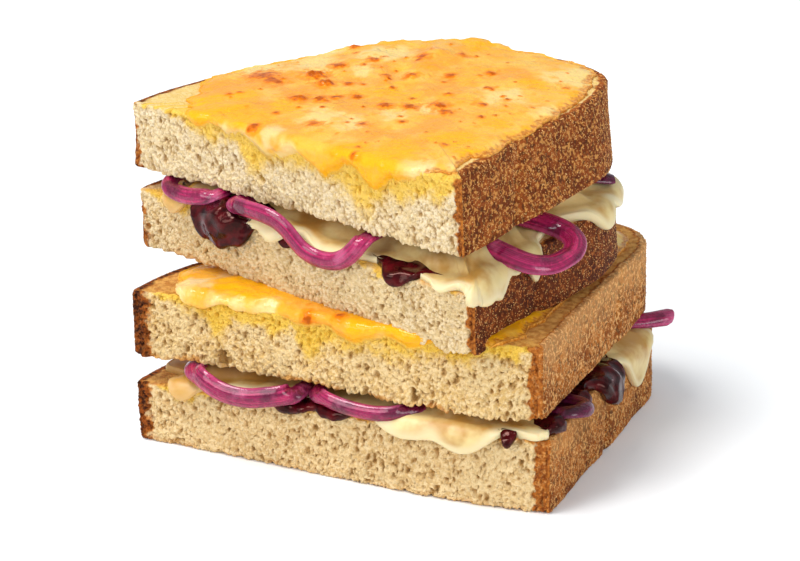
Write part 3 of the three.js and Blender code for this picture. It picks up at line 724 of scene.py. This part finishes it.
class Sheet:
    """A sheet of food over a slice: how far it reaches past the slice's edge, and its upper side."""

    def __init__(self, settings):
        self.crown = False
        self.__dict__.update(settings)
        self.bread = slices[self.on]
        self.mid = np.array((*self.bread.centre, 0.0))
        self.mid[2] = self.bread.thickness(self.mid[0])
        length, corner = self.bread.length, self.bread.width
        turning = np.linspace(corner - 2, corner + 1.6, 19)
        self.at = np.sort(np.concatenate([np.arange(0, length - 0.4, self.step), turning]))
        point, _ = self.bread.along(self.at)
        spot = np.concatenate([point, np.zeros((len(point), 1))], -1)
        runs = np.array([lobe_at(lobe, self.at, length) for lobe in self.lobes])
        out = (np.maximum(runs, 0) ** 4).sum(0) ** 0.25 + np.minimum(runs, 0).sum(0)
        self.plain = out - self.short + self.rough * ripple(spot, 9, self.seed)
        fray = ripple(spot, 3.1, self.seed + 1) + 0.6 * ripple(spot, 1.3, self.seed + 2)
        self.reach = self.plain + self.frayed * fray
        self.swell = sum(lobe_at(lobe, self.at, length) for lobe in self.swells)
        self.grilled = "blisters" in settings
        if self.grilled:
            self.blisters = self.blisters + self.small_blisters()

    def small_blisters(self):
        """Small random bubbles between the large ones."""
        rng = np.random.default_rng(self.seed)
        found = []
        for _ in range(self.freckles):
            u = rng.uniform(14, self.bread.width - 8)
            v = rng.uniform(-2, self.bread.shape["depth"] - 8)
            found.append((u, v, 0.35 + 0.9 * rng.random() ** 3, 0.12 + 0.2 * rng.random()))
        return found

    def ring(self, run, share=1.0):
        """One ring of the upper side, run past the edge or drawn in to a share: points, height, marks."""
        bread, at = self.bread, self.at
        run = run + 0 * at
        base = drape(bread, at, run, 0 * at + GAP)
        if share < 1:
            base = self.mid + (base - self.mid) * share
            base[:, 2] = bread.thickness(base[:, 0])
        hung = np.maximum(run, 0)
        seen = np.stack([base[:, 0], base[:, 1] - hung, 0 * hung], -1)
        inside = self.plain - run if share == 1 else TUCKED + 0 * at
        from_tip = self.reach - run if share == 1 else TUCKED + 0 * at
        coarse = 0.28 * ripple(seen, 7, self.seed + 4)
        uneven = 1 + coarse + (0.1 if self.grilled else 0.03) * ripple(seen, 2.2, self.seed + 5)
        thinned = self.thin + (1 - self.thin) * smooth(from_tip, 0, 3)
        lip = np.maximum(thinned, smooth(self.swell, 0.2, 0.9))
        risen = smooth(np.minimum(inside, 3 - run), self.lift, RISE)
        height = (self.edge + self.swell) * uneven * lip + (self.middle - self.edge) * risen
        height = height * share + (1 - share) * self.middle * uneven
        hanging = smooth(run, -BEND, BEND)
        off = GAP + (HANGING_GAP - GAP) * hanging
        # inner marks where a sheet rises in under the bread, and left marks its left end. Melted cheese is
        # given painted shade at both.
        marks = dict(
            edge=smooth(from_tip, 1.8, 0.2), inner=smooth(risen, 0.12, 0.6), left=smooth(seen[:, 0], 26, 12)
        )
        if self.grilled:
            height = height + self.grill(seen, marks)
        if self.grilled and share == 1:
            off = off - LIP_SUNK * hanging * smooth(from_tip, 3.2, -0.4)
            height = height + 0.16 * hanging * ripple(seen, 1.1, self.seed + 60)
            marks["edge"] = marks["edge"] * hanging
            right = smooth(seen[:, 0] + 12 * ripple(seen, 9, RIGHT_SEED), 58, 76)
            shore = smooth(from_tip + ripple(seen, 1.2, SHORE_SEED), 2.2, 0.3)
            marks["toasted"] = right * (1 - hanging) * shore
        if share < 1:
            base[:, 2] += off + height
            return base, height, marks
        return drape(bread, at, run, off + height), height, marks

    def grill(self, seen, marks):
        """Marks what the grill did to points, and gives how high the blisters are there."""
        rise, brown, halo = bubbles(seen, self.blisters, self.seed)
        _, black, _ = bubbles(seen, self.burnt, self.seed)
        marks.update(brown=brown, halo=halo, burnt=black, toasted=0 * brown)
        seeds = dict(cream=CREAM_SEED, pale=self.seed + 30, tan=self.seed + 40, gold=self.seed + 50)
        marks.update({label: patch(seen, getattr(self, label), start) for label, start in seeds.items()})
        return rise


def sheet_mesh(name, sheet):
    """A sheet of food over a slice, from the middle out under it, round its lip and back over it."""
    bread, at, reach = sheet.bread, sheet.at, sheet.reach
    inner = np.minimum(reach, 0) - TUCKED
    under = [drape(bread, at, inner + (reach - inner) * t, 0 * at - GAP) for t in (0, 0.4, 0.75, 1)]
    steps = np.concatenate([np.linspace(1, 0.72, 12), np.linspace(0.7, 0, 16)])
    over = [sheet.ring(inner + (reach - inner) * t) for t in steps]
    tip = 0.5 + over[0][1]
    sunk = LIP_SUNK * smooth(reach, -BEND, BEND) if sheet.grilled else 0.0
    round_lip = []
    for angle in np.radians(np.linspace(75, -75, 6))[::-1]:
        up = (tip + GAP) * (0.5 + 0.5 * math.sin(angle))
        round_lip.append(drape(bread, at, reach + 0.45 * tip * math.cos(angle), -GAP - sunk + up))
    if sheet.crown:
        over += [sheet.ring(inner, share) for share in np.linspace(0.985, 0.02, TOP_RINGS)]
    rows = np.array(under + round_lip + [row for row, _, _ in over])
    below = len(under + round_lip)
    data = {}
    for label in over[0][2]:
        values = np.array([marks[label] for _, _, marks in over])
        data[label] = np.concatenate([np.repeat(values[:1], below, 0), values])
    top = sheet.mid + (0, 0, sheet.middle + 0.4)
    return mesh_of_rows(name, bread.to_row(sheet.mid), bread.to_row(rows), bread.to_row(top), data)


def grilled_material():
    """Cheddar browned under the grill: gold fat, tan skin, pale curd and brown blisters, all glossy."""
    material, tree, shader = new_material("browned_cheddar")
    # Noise added to a pattern tears its outline.
    scorched, torn = (
        add(tree, "ShaderNodeMath", {0: pattern(tree, label), 1: pattern(tree, grain)}, operation="ADD")
        for label, grain in (("brown", (1.2, 3)), ("edge", (0.9, 3)))
    )
    rim = laid_over(tree, "#B86A22", ((0.8, 3), 0.4, 0.6, 1, "#E2A24A"))
    colour = laid_over(
        tree, "#F0AC26",
        ((9, 3), 0.38, 0.62, 1, "#F2BA44"),
        ("tan", 0, 1, 0.6, "#EB941E"),
        ((7, 4), 0.5, 0.72, 0.5, "#EFC868"),
        ("pale", -0.2, 1.2, 0.95, "#EDD28A"),
        ("gold", 0, 1, 0.9, "#F2B002"),
        ((3.6, 4), 0.54, 0.72, 0.7, "#EEA008"),
        ("cream", 0, 1, 0.75, "#ECD8A2"),
        ("halo", 0.1, 0.9, 0.85, "#EE9200"),
        ("brown", 0.15, 0.7, 0.9, "#D86C00"),
        (scorched, 1.2, 1.6, 0.8, "#A24400"),
        ("burnt", 0.2, 0.8, 1, "#6E2A0A"),
        (torn, 0.9, 1.5, 0.7, "#EFBE58"),
        ("toasted", 0.1, 0.9, 0.85, rim),
    )
    # The blisters are dry, and fat makes the rest glossy and in places lumpy.
    dry = {"Value": pattern(tree, "brown"), "From Min": 0.1, "From Max": 0.8, "To Min": 0.3, "To Max": 0.1}
    wet = {"Value": pattern(tree, (5, 2)), "From Min": 0.5, "From Max": 0.66, "To Min": 0.5, "To Max": 1.0}
    gloss, lumps = (
        add(tree, "ShaderNodeMapRange", reach, interpolation_type="SMOOTHSTEP") for reach in (dry, wet)
    )
    height = pattern(tree, (1.4, 4))
    bump = add(tree, "ShaderNodeBump", {"Height": height, "Strength": lumps, "Distance": 0.8 * MM})
    feed(tree, shader, {
        "Base Color": colour, "Normal": bump, "Roughness": 0.38,
        "Specular IOR Level": 0.3, "Specular Tint": "#FFC878",
        "Coat Weight": gloss, "Coat Roughness": 0.06, "Coat Tint": "#FFE6A8",
        "Subsurface Weight": 0.2, "Subsurface Radius": (1.6 * MM, 0.9 * MM, 0.3 * MM),
        "Subsurface Scale": 1.0,
    })
    return material


browned = grilled_material()
for name, settings in GRILLED.items():
    show(sheet_mesh(name + "_sheet", Sheet(settings)), browned, name)

# ---- Melted cheese inside each half -------------------------------------------------------------------
# Slices of mild cheddar that softened between the hot slices of bread, sagged over their edges and set
# with a thick rounded edge. They are cream, with painted shade where they rise in under the bread above.

MELTED = {
    "melted_cheese_upper": dict(
        on="bread_slice_2", short=3, edge=1.4, middle=9, thin=0.85, rough=0.3, frayed=0.1, seed=14,
        lift=4.5, step=0.75,
        lobes=[
            (2, 5, -8), (11.4, 4.5, 6), (33, 7, 3), (41, 6, 3.4), (57, 8, 3.2), (87, 4, 3.2),
            (98, 5, 5.4), (104, 5.5, 6.4), (111, 4, 4.4), (117.4, 3, 8), (133, 5, -3), (146, 5, 6),
            (157, 7, 5.4),
        ],
        swells=[(44, 13, 0.8), (99, 6, 1.4), (150, 9, 0.9)],
    ),
    "melted_cheese_lower": dict(
        on="bread_slice_4", short=3.5, edge=1.7, middle=9, thin=0.8, rough=0.3, frayed=0.1, seed=21,
        lift=4, step=0.75,
        lobes=[
            (2, 5, -8), (13, 5.5, 5.4), (70, 11, 5.2), (82, 9, 6.4), (98, 5, 2.4), (142, 5, 2.5),
            (157, 8, 12.2),
        ],
        swells=[(80, 9, 0.5), (157, 12, -0.6)],
    ),
}


def melted_material():
    """Softened mild cheese, cream with a satin skin that light enters a little."""
    material, tree, shader = new_material("melted_cheddar")
    colour = laid_over(tree, "#E2CA8C", ((9, 4), 0.38, 0.64, 1, "#BE8E44"))
    edge = {0: pattern(tree, "edge"), 6: colour, 7: "#E2CFA0"}
    colour = add(tree, "ShaderNodeMix", edge, data_type="RGBA")
    # Painted shade: ochre towards the left end, beside the bread.
    colour = laid_over(tree, colour, ("left", 0, 1, 0.7, "#C68C22"))
    # Painted shade: dark brown where the cheese rises in under the bread above.
    inner = {0: pattern(tree, "inner"), 6: colour, 7: "#3E2409"}
    colour = add(tree, "ShaderNodeMix", inner, data_type="RGBA")
    height = pattern(tree, (2.5, 2))
    bump = add(tree, "ShaderNodeBump", {"Height": height, "Strength": 0.15, "Distance": 0.5 * MM})
    feed(tree, shader, {
        "Base Color": colour, "Normal": bump, "Roughness": 0.42,
        "Subsurface Weight": 0.35, "Subsurface Radius": (2.0 * MM, 1.3 * MM, 0.6 * MM),
        "Subsurface Scale": 1.0,
    })
    return material


softened = melted_material()
for name, settings in MELTED.items():
    show(sheet_mesh(name + "_sheet", Sheet(settings)), softened, name)

# ---- Chutney under the melted cheese ------------------------------------------------------------------
# Fruit cooked soft in dark syrup, spread on the lower slice of each half and squeezed out in lumps at
# the cut and at the right crust.

CHUTNEY = {
    "chutney_upper": dict(
        on="bread_slice_2", short=5, edge=1.1, middle=1.2, thin=0.9, rough=0.5, frayed=0.3, seed=31,
        lift=0, step=0.5,
        lobes=[
            (4, 8, -6), (21.8, 5, 9.4), (27, 6, 10.4), (32, 4.4, 9), (45, 4, 6.8), (55.5, 5, 7),
            (76, 6, 6.6),
        ],
        swells=[(26, 9, 1.8), (76, 6, 0.4)],
    ),
    "chutney_lower": dict(
        on="bread_slice_4", short=5, edge=1.1, middle=1.2, thin=0.9, rough=0.5, frayed=0.3, seed=37,
        lift=0, step=0.5,
        lobes=[
            (4, 8, -6), (40, 9, 6), (51, 7, 6), (69, 3, 6.6), (92.3, 2.6, 6), (107, 6, 4), (120, 9, 5),
            (138, 7, 9.6),
        ],
        swells=[(92, 3, 0.4), (108, 7, 1.2), (122, 9, 1.4), (138, 8, 2)],
    ),
}


def chutney_material():
    """Cooked fruit in dark syrup: nearly black red, wet and very glossy."""
    material, tree, shader = new_material("dark_fruit_chutney")
    colour = laid_over(tree, "#1E0306", ((2.2, 3), 0.3, 0.8, 1, "#560B13"))
    height = pattern(tree, (4, 0))
    bump = add(tree, "ShaderNodeBump", {"Height": height, "Strength": 0.9, "Distance": 2.4 * MM})
    feed(tree, shader, {
        "Base Color": colour, "Normal": bump, "Roughness": 0.07,
        "Specular IOR Level": 0.26, "Specular Tint": "#FFC4B4",
    })
    return material


spread = chutney_material()
for name, settings in CHUTNEY.items():
    show(sheet_mesh(name + "_sheet", Sheet(settings)), spread, name)

# ---- Strips of red onion ------------------------------------------------------------------------------
# Red onion cut across into rings and softened in the heat: each strip is a layer of the bulb, purple
# outside, with fine fibres along it. It bends freely, so it dips over the edge of the bread.

# The two edges of a strip curl up by this share of its thickness, and fibres stand this far off it.
CURL = 0.22
FIBRE_DEPTH = 0.22
# The whole ring is tipped to the front, and its flat side faces this way all round.
RING_FACING = (0.25, -0.5, 0.8)
# Each path is the middle of its strip, in the frame of the slice that it lies on.
ONIONS = {
    "onion_upper_left": dict(
        on="bread_slice_2", width=3.8, thick=1.8, path=[
            (8.6, 10, 17.4), (7.4, 3.6, 17.6), (9, 0.2, 17.2), (12, -1.2, 16.8), (16.1, -1.6, 17.0),
            (20.5, -1.2, 18), (22.8, 1, 18.6), (22.6, 8, 18.4),
        ],
    ),
    "onion_upper_front": dict(
        on="bread_slice_2", width=4.2, thick=1.9, path=[
            (30, 8, 18), (28.4, 1, 18.4), (30.4, -2.2, 18.9), (34.3, -3.4, 19.5), (39.2, -3.9, 19.8),
            (43, -4, 19.3), (46, -4.1, 18), (48.6, -4.2, 16), (51.2, -4.2, 14.3), (54.8, -4.1, 13.5),
            (58.8, -4, 13.9), (62, -3.8, 15.6), (64.2, -3.2, 18), (65.4, -2, 20), (65.6, 2, 20.4),
            (65.2, 8, 20),
        ],
    ),
    "onion_upper_ring": dict(
        on="bread_slice_2", width=5.0, thick=2.0, path=[
            (72, 14.4, 20.4), (79, 13.6, 20.2), (85, 13.6, 19.8), (90, 14.6, 18.4), (94.4, 15.6, 17.2),
            (97.4, 17.2, 16.4), (99.6, 20, 16), (100.4, 23.4, 16), (100.2, 27.5, 16.2), (98.2, 31, 17),
            (94, 32.6, 17.8), (88.5, 31.6, 18.8), (81, 29, 19.8),
        ],
    ),
    "onion_upper_back": dict(
        on="bread_slice_2", width=4.4, thick=1.8,
        path=[(76.5, 53, 18.8), (81.5, 55, 19), (85.5, 57.4, 18.8), (88.6, 60.6, 18.2)],
    ),
    "onion_lower_left": dict(
        on="bread_slice_4", width=4.8, thick=2.0, path=[
            (13.6, 9, 19), (14.2, 2.6, 19.6), (16.4, -1.8, 20), (19.2, -3.8, 19.4), (22.6, -4.4, 18),
            (26.6, -4.7, 17.2), (31, -4.7, 17.3), (35.6, -4.3, 18.2), (39.2, -3.2, 18.9), (41, -0.6, 19.2),
            (41.2, 4, 19.2),
        ],
    ),
    "onion_lower_front": dict(
        on="bread_slice_4", width=3.6, thick=1.9, path=[
            (45, 5, 19.4), (45.8, -0.8, 19.8), (48.6, -2.8, 19.6), (53, -3.8, 19), (57.6, -4, 18.6),
            (62, -3.8, 18.6), (66.4, -2.6, 19.2), (70, 2, 19.8),
        ],
    ),
    "onion_lower_side": dict(
        on="bread_slice_4", width=4.0, thick=2.2, path=[
            (90, 9, 19.6), (97, 9.6, 20), (101.4, 10.6, 20.4), (103.6, 13.6, 20.4), (101.6, 17, 20),
            (95, 18.4, 19.8),
        ],
    ),
    "onion_lower_back": dict(
        on="bread_slice_4", width=4.8, thick=3.2,
        path=[(87, 61, 19.8), (93, 63.4, 20), (98.6, 66.4, 20.2), (104, 70.4, 20.8)],
    ),
}


def fibres(tree, around, along, across, lengthways, start, detail):
    """Noise in long fibres, so many of them to a radian round a strip and to a metre along it."""
    drawn_out = add(tree, "ShaderNodeMath", {0: along, 1: lengthways, 2: start}, operation="MULTIPLY_ADD")
    parts = {"Z": drawn_out}
    for axis, operation in (("X", "COSINE"), ("Y", "SINE")):
        turned = add(tree, "ShaderNodeMath", {0: around}, operation=operation)
        parts[axis] = add(tree, "ShaderNodeMath", {0: turned, 1: across}, operation="MULTIPLY")
    lines = add(tree, "ShaderNodeCombineXYZ", parts)
    return add(tree, "ShaderNodeTexNoise", {"Vector": lines, "Scale": 1.0, "Detail": detail})


def strip_tree(material):
    """Geometry Nodes that sweep a curled, fibred strip along a path of edges."""
    sizes = ("Half Width", "Half Thickness", "Curl", "Fibre Depth")
    tree, given = new_tree("onion_strip", "Path", sizes, "Strip")
    # The path is smoothed, and its flat side faces the way that each of its points says.
    curve = add(tree, "GeometryNodeMeshToCurve", {"Mesh": given["Path"]})
    kind = add(tree, "GeometryNodeCurveSplineType", {"Curve": curve}, spline_type="CATMULL_ROM")
    fine = add(tree, "GeometryNodeResampleCurve", {"Curve": kind, "Length": 0.4 * MM}, mode="LENGTH")
    faces = add(tree, "GeometryNodeInputNamedAttribute", {"Name": "facing"}, data_type="FLOAT_VECTOR")
    turned = add(tree, "GeometryNodeSetCurveNormal", {"Curve": fine, "Normal": faces}, mode="FREE")
    share, length = add(tree, "GeometryNodeSplineParameter").outputs[:2]
    to_end = add(tree, "ShaderNodeMath", {0: 1.0, 1: share}, operation="SUBTRACT")
    nearer = add(tree, "ShaderNodeMath", {0: share, 1: to_end}, operation="MINIMUM")
    taper = add(
        tree, "ShaderNodeMapRange",
        {"Value": nearer, "From Min": 0.0, "From Max": 0.06, "To Min": 0.8, "To Max": 1.0},
        interpolation_type="SMOOTHSTEP",
    )
    along = {"Geometry": turned, "Name": "along", "Value": length}
    rail = add(tree, "GeometryNodeStoreNamedAttribute", along, data_type="FLOAT")
    rail = add(tree, "GeometryNodeSetCurveRadius", {"Curve": rail, "Radius": taper})
    # The section is a flattened ring, curled up at its two edges.
    ring = add(tree, "GeometryNodeCurvePrimitiveCircle", {"Resolution": 40, "Radius": 1.0})
    once = add(tree, "GeometryNodeSplineParameter")
    angle = add(tree, "ShaderNodeMath", {0: once, 1: 2 * math.pi}, operation="MULTIPLY")
    cosine = add(tree, "ShaderNodeMath", {0: angle}, operation="COSINE")
    sine = add(tree, "ShaderNodeMath", {0: angle}, operation="SINE")
    wide = add(tree, "ShaderNodeMath", {0: cosine, 1: given["Half Width"]}, operation="MULTIPLY")
    deep = add(tree, "ShaderNodeMath", {0: sine, 1: given["Half Thickness"]}, operation="MULTIPLY")
    at_edges = add(tree, "ShaderNodeMath", {0: cosine, 1: 2.0}, operation="POWER")
    curl = add(tree, "ShaderNodeMath", {0: at_edges, 1: given["Curl"]}, operation="MULTIPLY")
    bulge = add(tree, "ShaderNodeMath", {0: deep, 1: curl}, operation="SUBTRACT")
    section = add(tree, "ShaderNodeCombineXYZ", {"X": bulge, "Y": wide})
    shaped = add(tree, "GeometryNodeSetPosition", {"Geometry": ring, "Position": section})
    around = {"Geometry": shaped, "Name": "around", "Value": angle}
    profile = add(tree, "GeometryNodeStoreNamedAttribute", around, data_type="FLOAT")
    swept = add(
        tree, "GeometryNodeCurveToMesh",
        {"Curve": rail, "Profile Curve": profile, "Fill Caps": True, "Scale": taper},
    )
    # Fibres run the length of the strip, and the whole strip is a little uneven.
    around, along = (
        add(tree, "GeometryNodeInputNamedAttribute", {"Name": label}, data_type="FLOAT")
        for label in ("around", "along")
    )
    fibre = fibres(tree, around, along, 4.0, 60.0, given["Seed"], 2.0)
    above = add(tree, "ShaderNodeMath", {0: fibre, 1: 0.5}, operation="SUBTRACT")
    lift = add(tree, "ShaderNodeMath", {0: above, 1: given["Fibre Depth"]}, operation="MULTIPLY")
    normal = add(tree, "GeometryNodeInputNormal")
    offset = add(tree, "ShaderNodeVectorMath", {0: normal, "Scale": lift}, operation="SCALE")
    uneven = add(tree, "GeometryNodeSetPosition", {"Geometry": swept, "Offset": offset})
    soft = add(tree, "GeometryNodeSetShadeSmooth", {"Geometry": uneven})
    real = add(tree, "GeometryNodeRealizeInstances", {"Geometry": soft})
    finish = add(tree, "GeometryNodeSetMaterial", {"Geometry": real, "Material": material})
    add(tree, "NodeGroupOutput", {"Strip": finish})
    return tree


def onion_material(name, dark, light, deep, rib, rim):
    """The skin side of softened red onion: magenta with paler fibres and ribs, moist and glossy."""
    material, tree, shader = new_material(name)
    around = pattern(tree, "around")
    streak = fibres(tree, around, pattern(tree, "along"), 5.0, 90.0, 0.0, 3.0)
    cosine = add(tree, "ShaderNodeMath", {0: around}, operation="COSINE")
    edge = add(tree, "ShaderNodeMath", {0: cosine}, operation="ABSOLUTE")
    colour = laid_over(
        tree, dark,
        (streak, 0.35, 0.7, 1, light),
        ((6, 2), 0.46, 0.66, 0.85, deep),
        ((5.2, 2), 0.55, 0.75, 0.45, rib),
        (edge, 0.9, 1.0, 0.35, rim),
    )
    height = pattern(tree, (0.9, 3))
    bump = add(tree, "ShaderNodeBump", {"Height": height, "Strength": 1.0, "Distance": 0.6 * MM})
    feed(tree, shader, {
        "Base Color": colour, "Normal": bump, "Roughness": 0.3, "Specular Tint": "#F0A0C8",
        "Subsurface Weight": 0.25, "Subsurface Radius": (1.2 * MM, 0.4 * MM, 0.7 * MM),
        "Subsurface Scale": 1.0, "Coat Weight": 0.7, "Coat Roughness": 0.05, "Coat Tint": "#FFC8DC",
    })
    return material


def strip_facing(bread, path, is_ring):
    """The way that the flat side of a strip faces: up on the bread, and out where it hangs over."""
    if is_ring:
        return np.repeat([RING_FACING], len(path), 0)
    past_cut = smooth(-path[:, 1], -1, 3)
    past_base = smooth(path[:, 0] - bread.width, -1, 6)
    up = 1.05 - np.maximum(past_cut, 0.6 * past_base)
    return np.stack([0.8 * past_base, -past_cut, up], -1)


fresh = onion_material("red_onion_flesh", "#740A42", "#BC2868", "#4E052A", "#DA88AC", "#C66896")
# A darker copy of the onion, for the strip at the back of the upper half and the one at the right of the
# lower half.
darker_flesh = onion_material("darker_red_onion_flesh", "#3A061C", "#661440", "#20040C", "#7A2C50", "#6E2A50")
strips = {flesh: strip_tree(flesh) for flesh in (fresh, darker_flesh)}
for seed, (name, onion) in enumerate(ONIONS.items()):
    flesh = darker_flesh if name in ("onion_upper_back", "onion_lower_side") else fresh
    bread = slices[onion["on"]]
    path = np.array(onion["path"], float)
    facing = strip_facing(bread, path, name.endswith("ring")) @ bread.matrix[:3, :3].T
    mesh = bpy.data.meshes.new(name + "_path")
    points = bread.to_row(path) * MM
    mesh.from_pydata(points.tolist(), [(i, i + 1) for i in range(len(path) - 1)], [])
    layer = mesh.attributes.new("facing", "FLOAT_VECTOR", "POINT")
    layer.data.foreach_set("vector", facing.astype(np.float32).ravel())
    measures = {
        "Half Width": onion["width"] / 2 * MM, "Half Thickness": onion["thick"] / 2 * MM,
        "Curl": CURL * onion["thick"] * MM, "Fibre Depth": FIBRE_DEPTH * MM, "Seed": seed * 7,
    }
    show(grown(name + "_strip", mesh, strips[flesh], measures), flesh, name)

# ---- Floor, light and camera --------------------------------------------------------------------------
# A white studio sweep, with a large soft light from the upper left, one from the front that reaches in
# under the slices, and a fill from the right. The camera looks down at the front right corner.

AIM = Vector((2.01, -2.94, 34.78)) * MM
AZIMUTH, ELEVATION = math.radians(23.2), math.radians(21.71)
DISTANCE = 701 * MM
back = Vector((
    math.sin(AZIMUTH) * math.cos(ELEVATION),
    -math.cos(AZIMUTH) * math.cos(ELEVATION),
    math.sin(ELEVATION),
))
lens = bpy.data.cameras.new("camera")
lens.lens = 138.6
lens.sensor_width = 36
camera = bpy.data.objects.new("camera", lens)
camera.location = AIM + back * DISTANCE
camera.rotation_euler = back.to_track_quat("Z", "Y").to_euler()
bpy.context.scene.collection.objects.link(camera)
bpy.context.scene.camera = camera

FLOOR_REACH = 3
corners = [(-1, -1), (1, -1), (1, 1), (-1, 1)]
floor_mesh = bpy.data.meshes.new("floor")
floor_mesh.from_pydata([(x * FLOOR_REACH, y * FLOOR_REACH, 0) for x, y in corners], [], [(0, 1, 2, 3)])
floor = bpy.data.objects.new("floor", floor_mesh)
bpy.context.scene.collection.objects.link(floor)
floor_white, tree, shader = new_material("white_sweep")
feed(tree, shader, {"Base Color": "#FAFAFA", "Roughness": 0.9})
floor_mesh.materials.append(floor_white)
floor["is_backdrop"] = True


def light(name, size, power, place, colour):
    """A round soft light that is turned to the sandwich. Sizes and places are in metres."""
    lamp = bpy.data.lights.new(name, "AREA")
    lamp.shape = "DISK"
    lamp.size = size
    lamp.energy = power
    lamp.color = colour
    holder = bpy.data.objects.new(name, lamp)
    holder.location = place
    holder.rotation_euler = (Vector(place) - AIM).to_track_quat("Z", "Y").to_euler()
    bpy.context.scene.collection.objects.link(holder)


light("key", size=1.2, power=54, place=(-1.0, -0.6, 2.8), colour=(1, 0.99, 0.97))
light("front", size=1.7, power=33, place=(-1.2, -2.1, 1.75), colour=(1, 1, 1))
light("right", size=1.4, power=24, place=(2.2, -1.7, 1.3), colour=(1, 1, 1))
world = bpy.data.worlds.new("studio")
bpy.context.scene.world = world
world.use_nodes = True
sky = world.node_tree.nodes["Background"]
feed(world.node_tree, sky, {"Color": (0.85, 0.93, 1, 1), "Strength": 0.58})
bpy.context.scene.view_settings.view_transform = "Standard"

visual_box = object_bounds()
boxes = {"cad": cad_box, "visual": visual_box}
boxes = {name: [list(map(float, corner)) for corner in box] for name, box in boxes.items()}
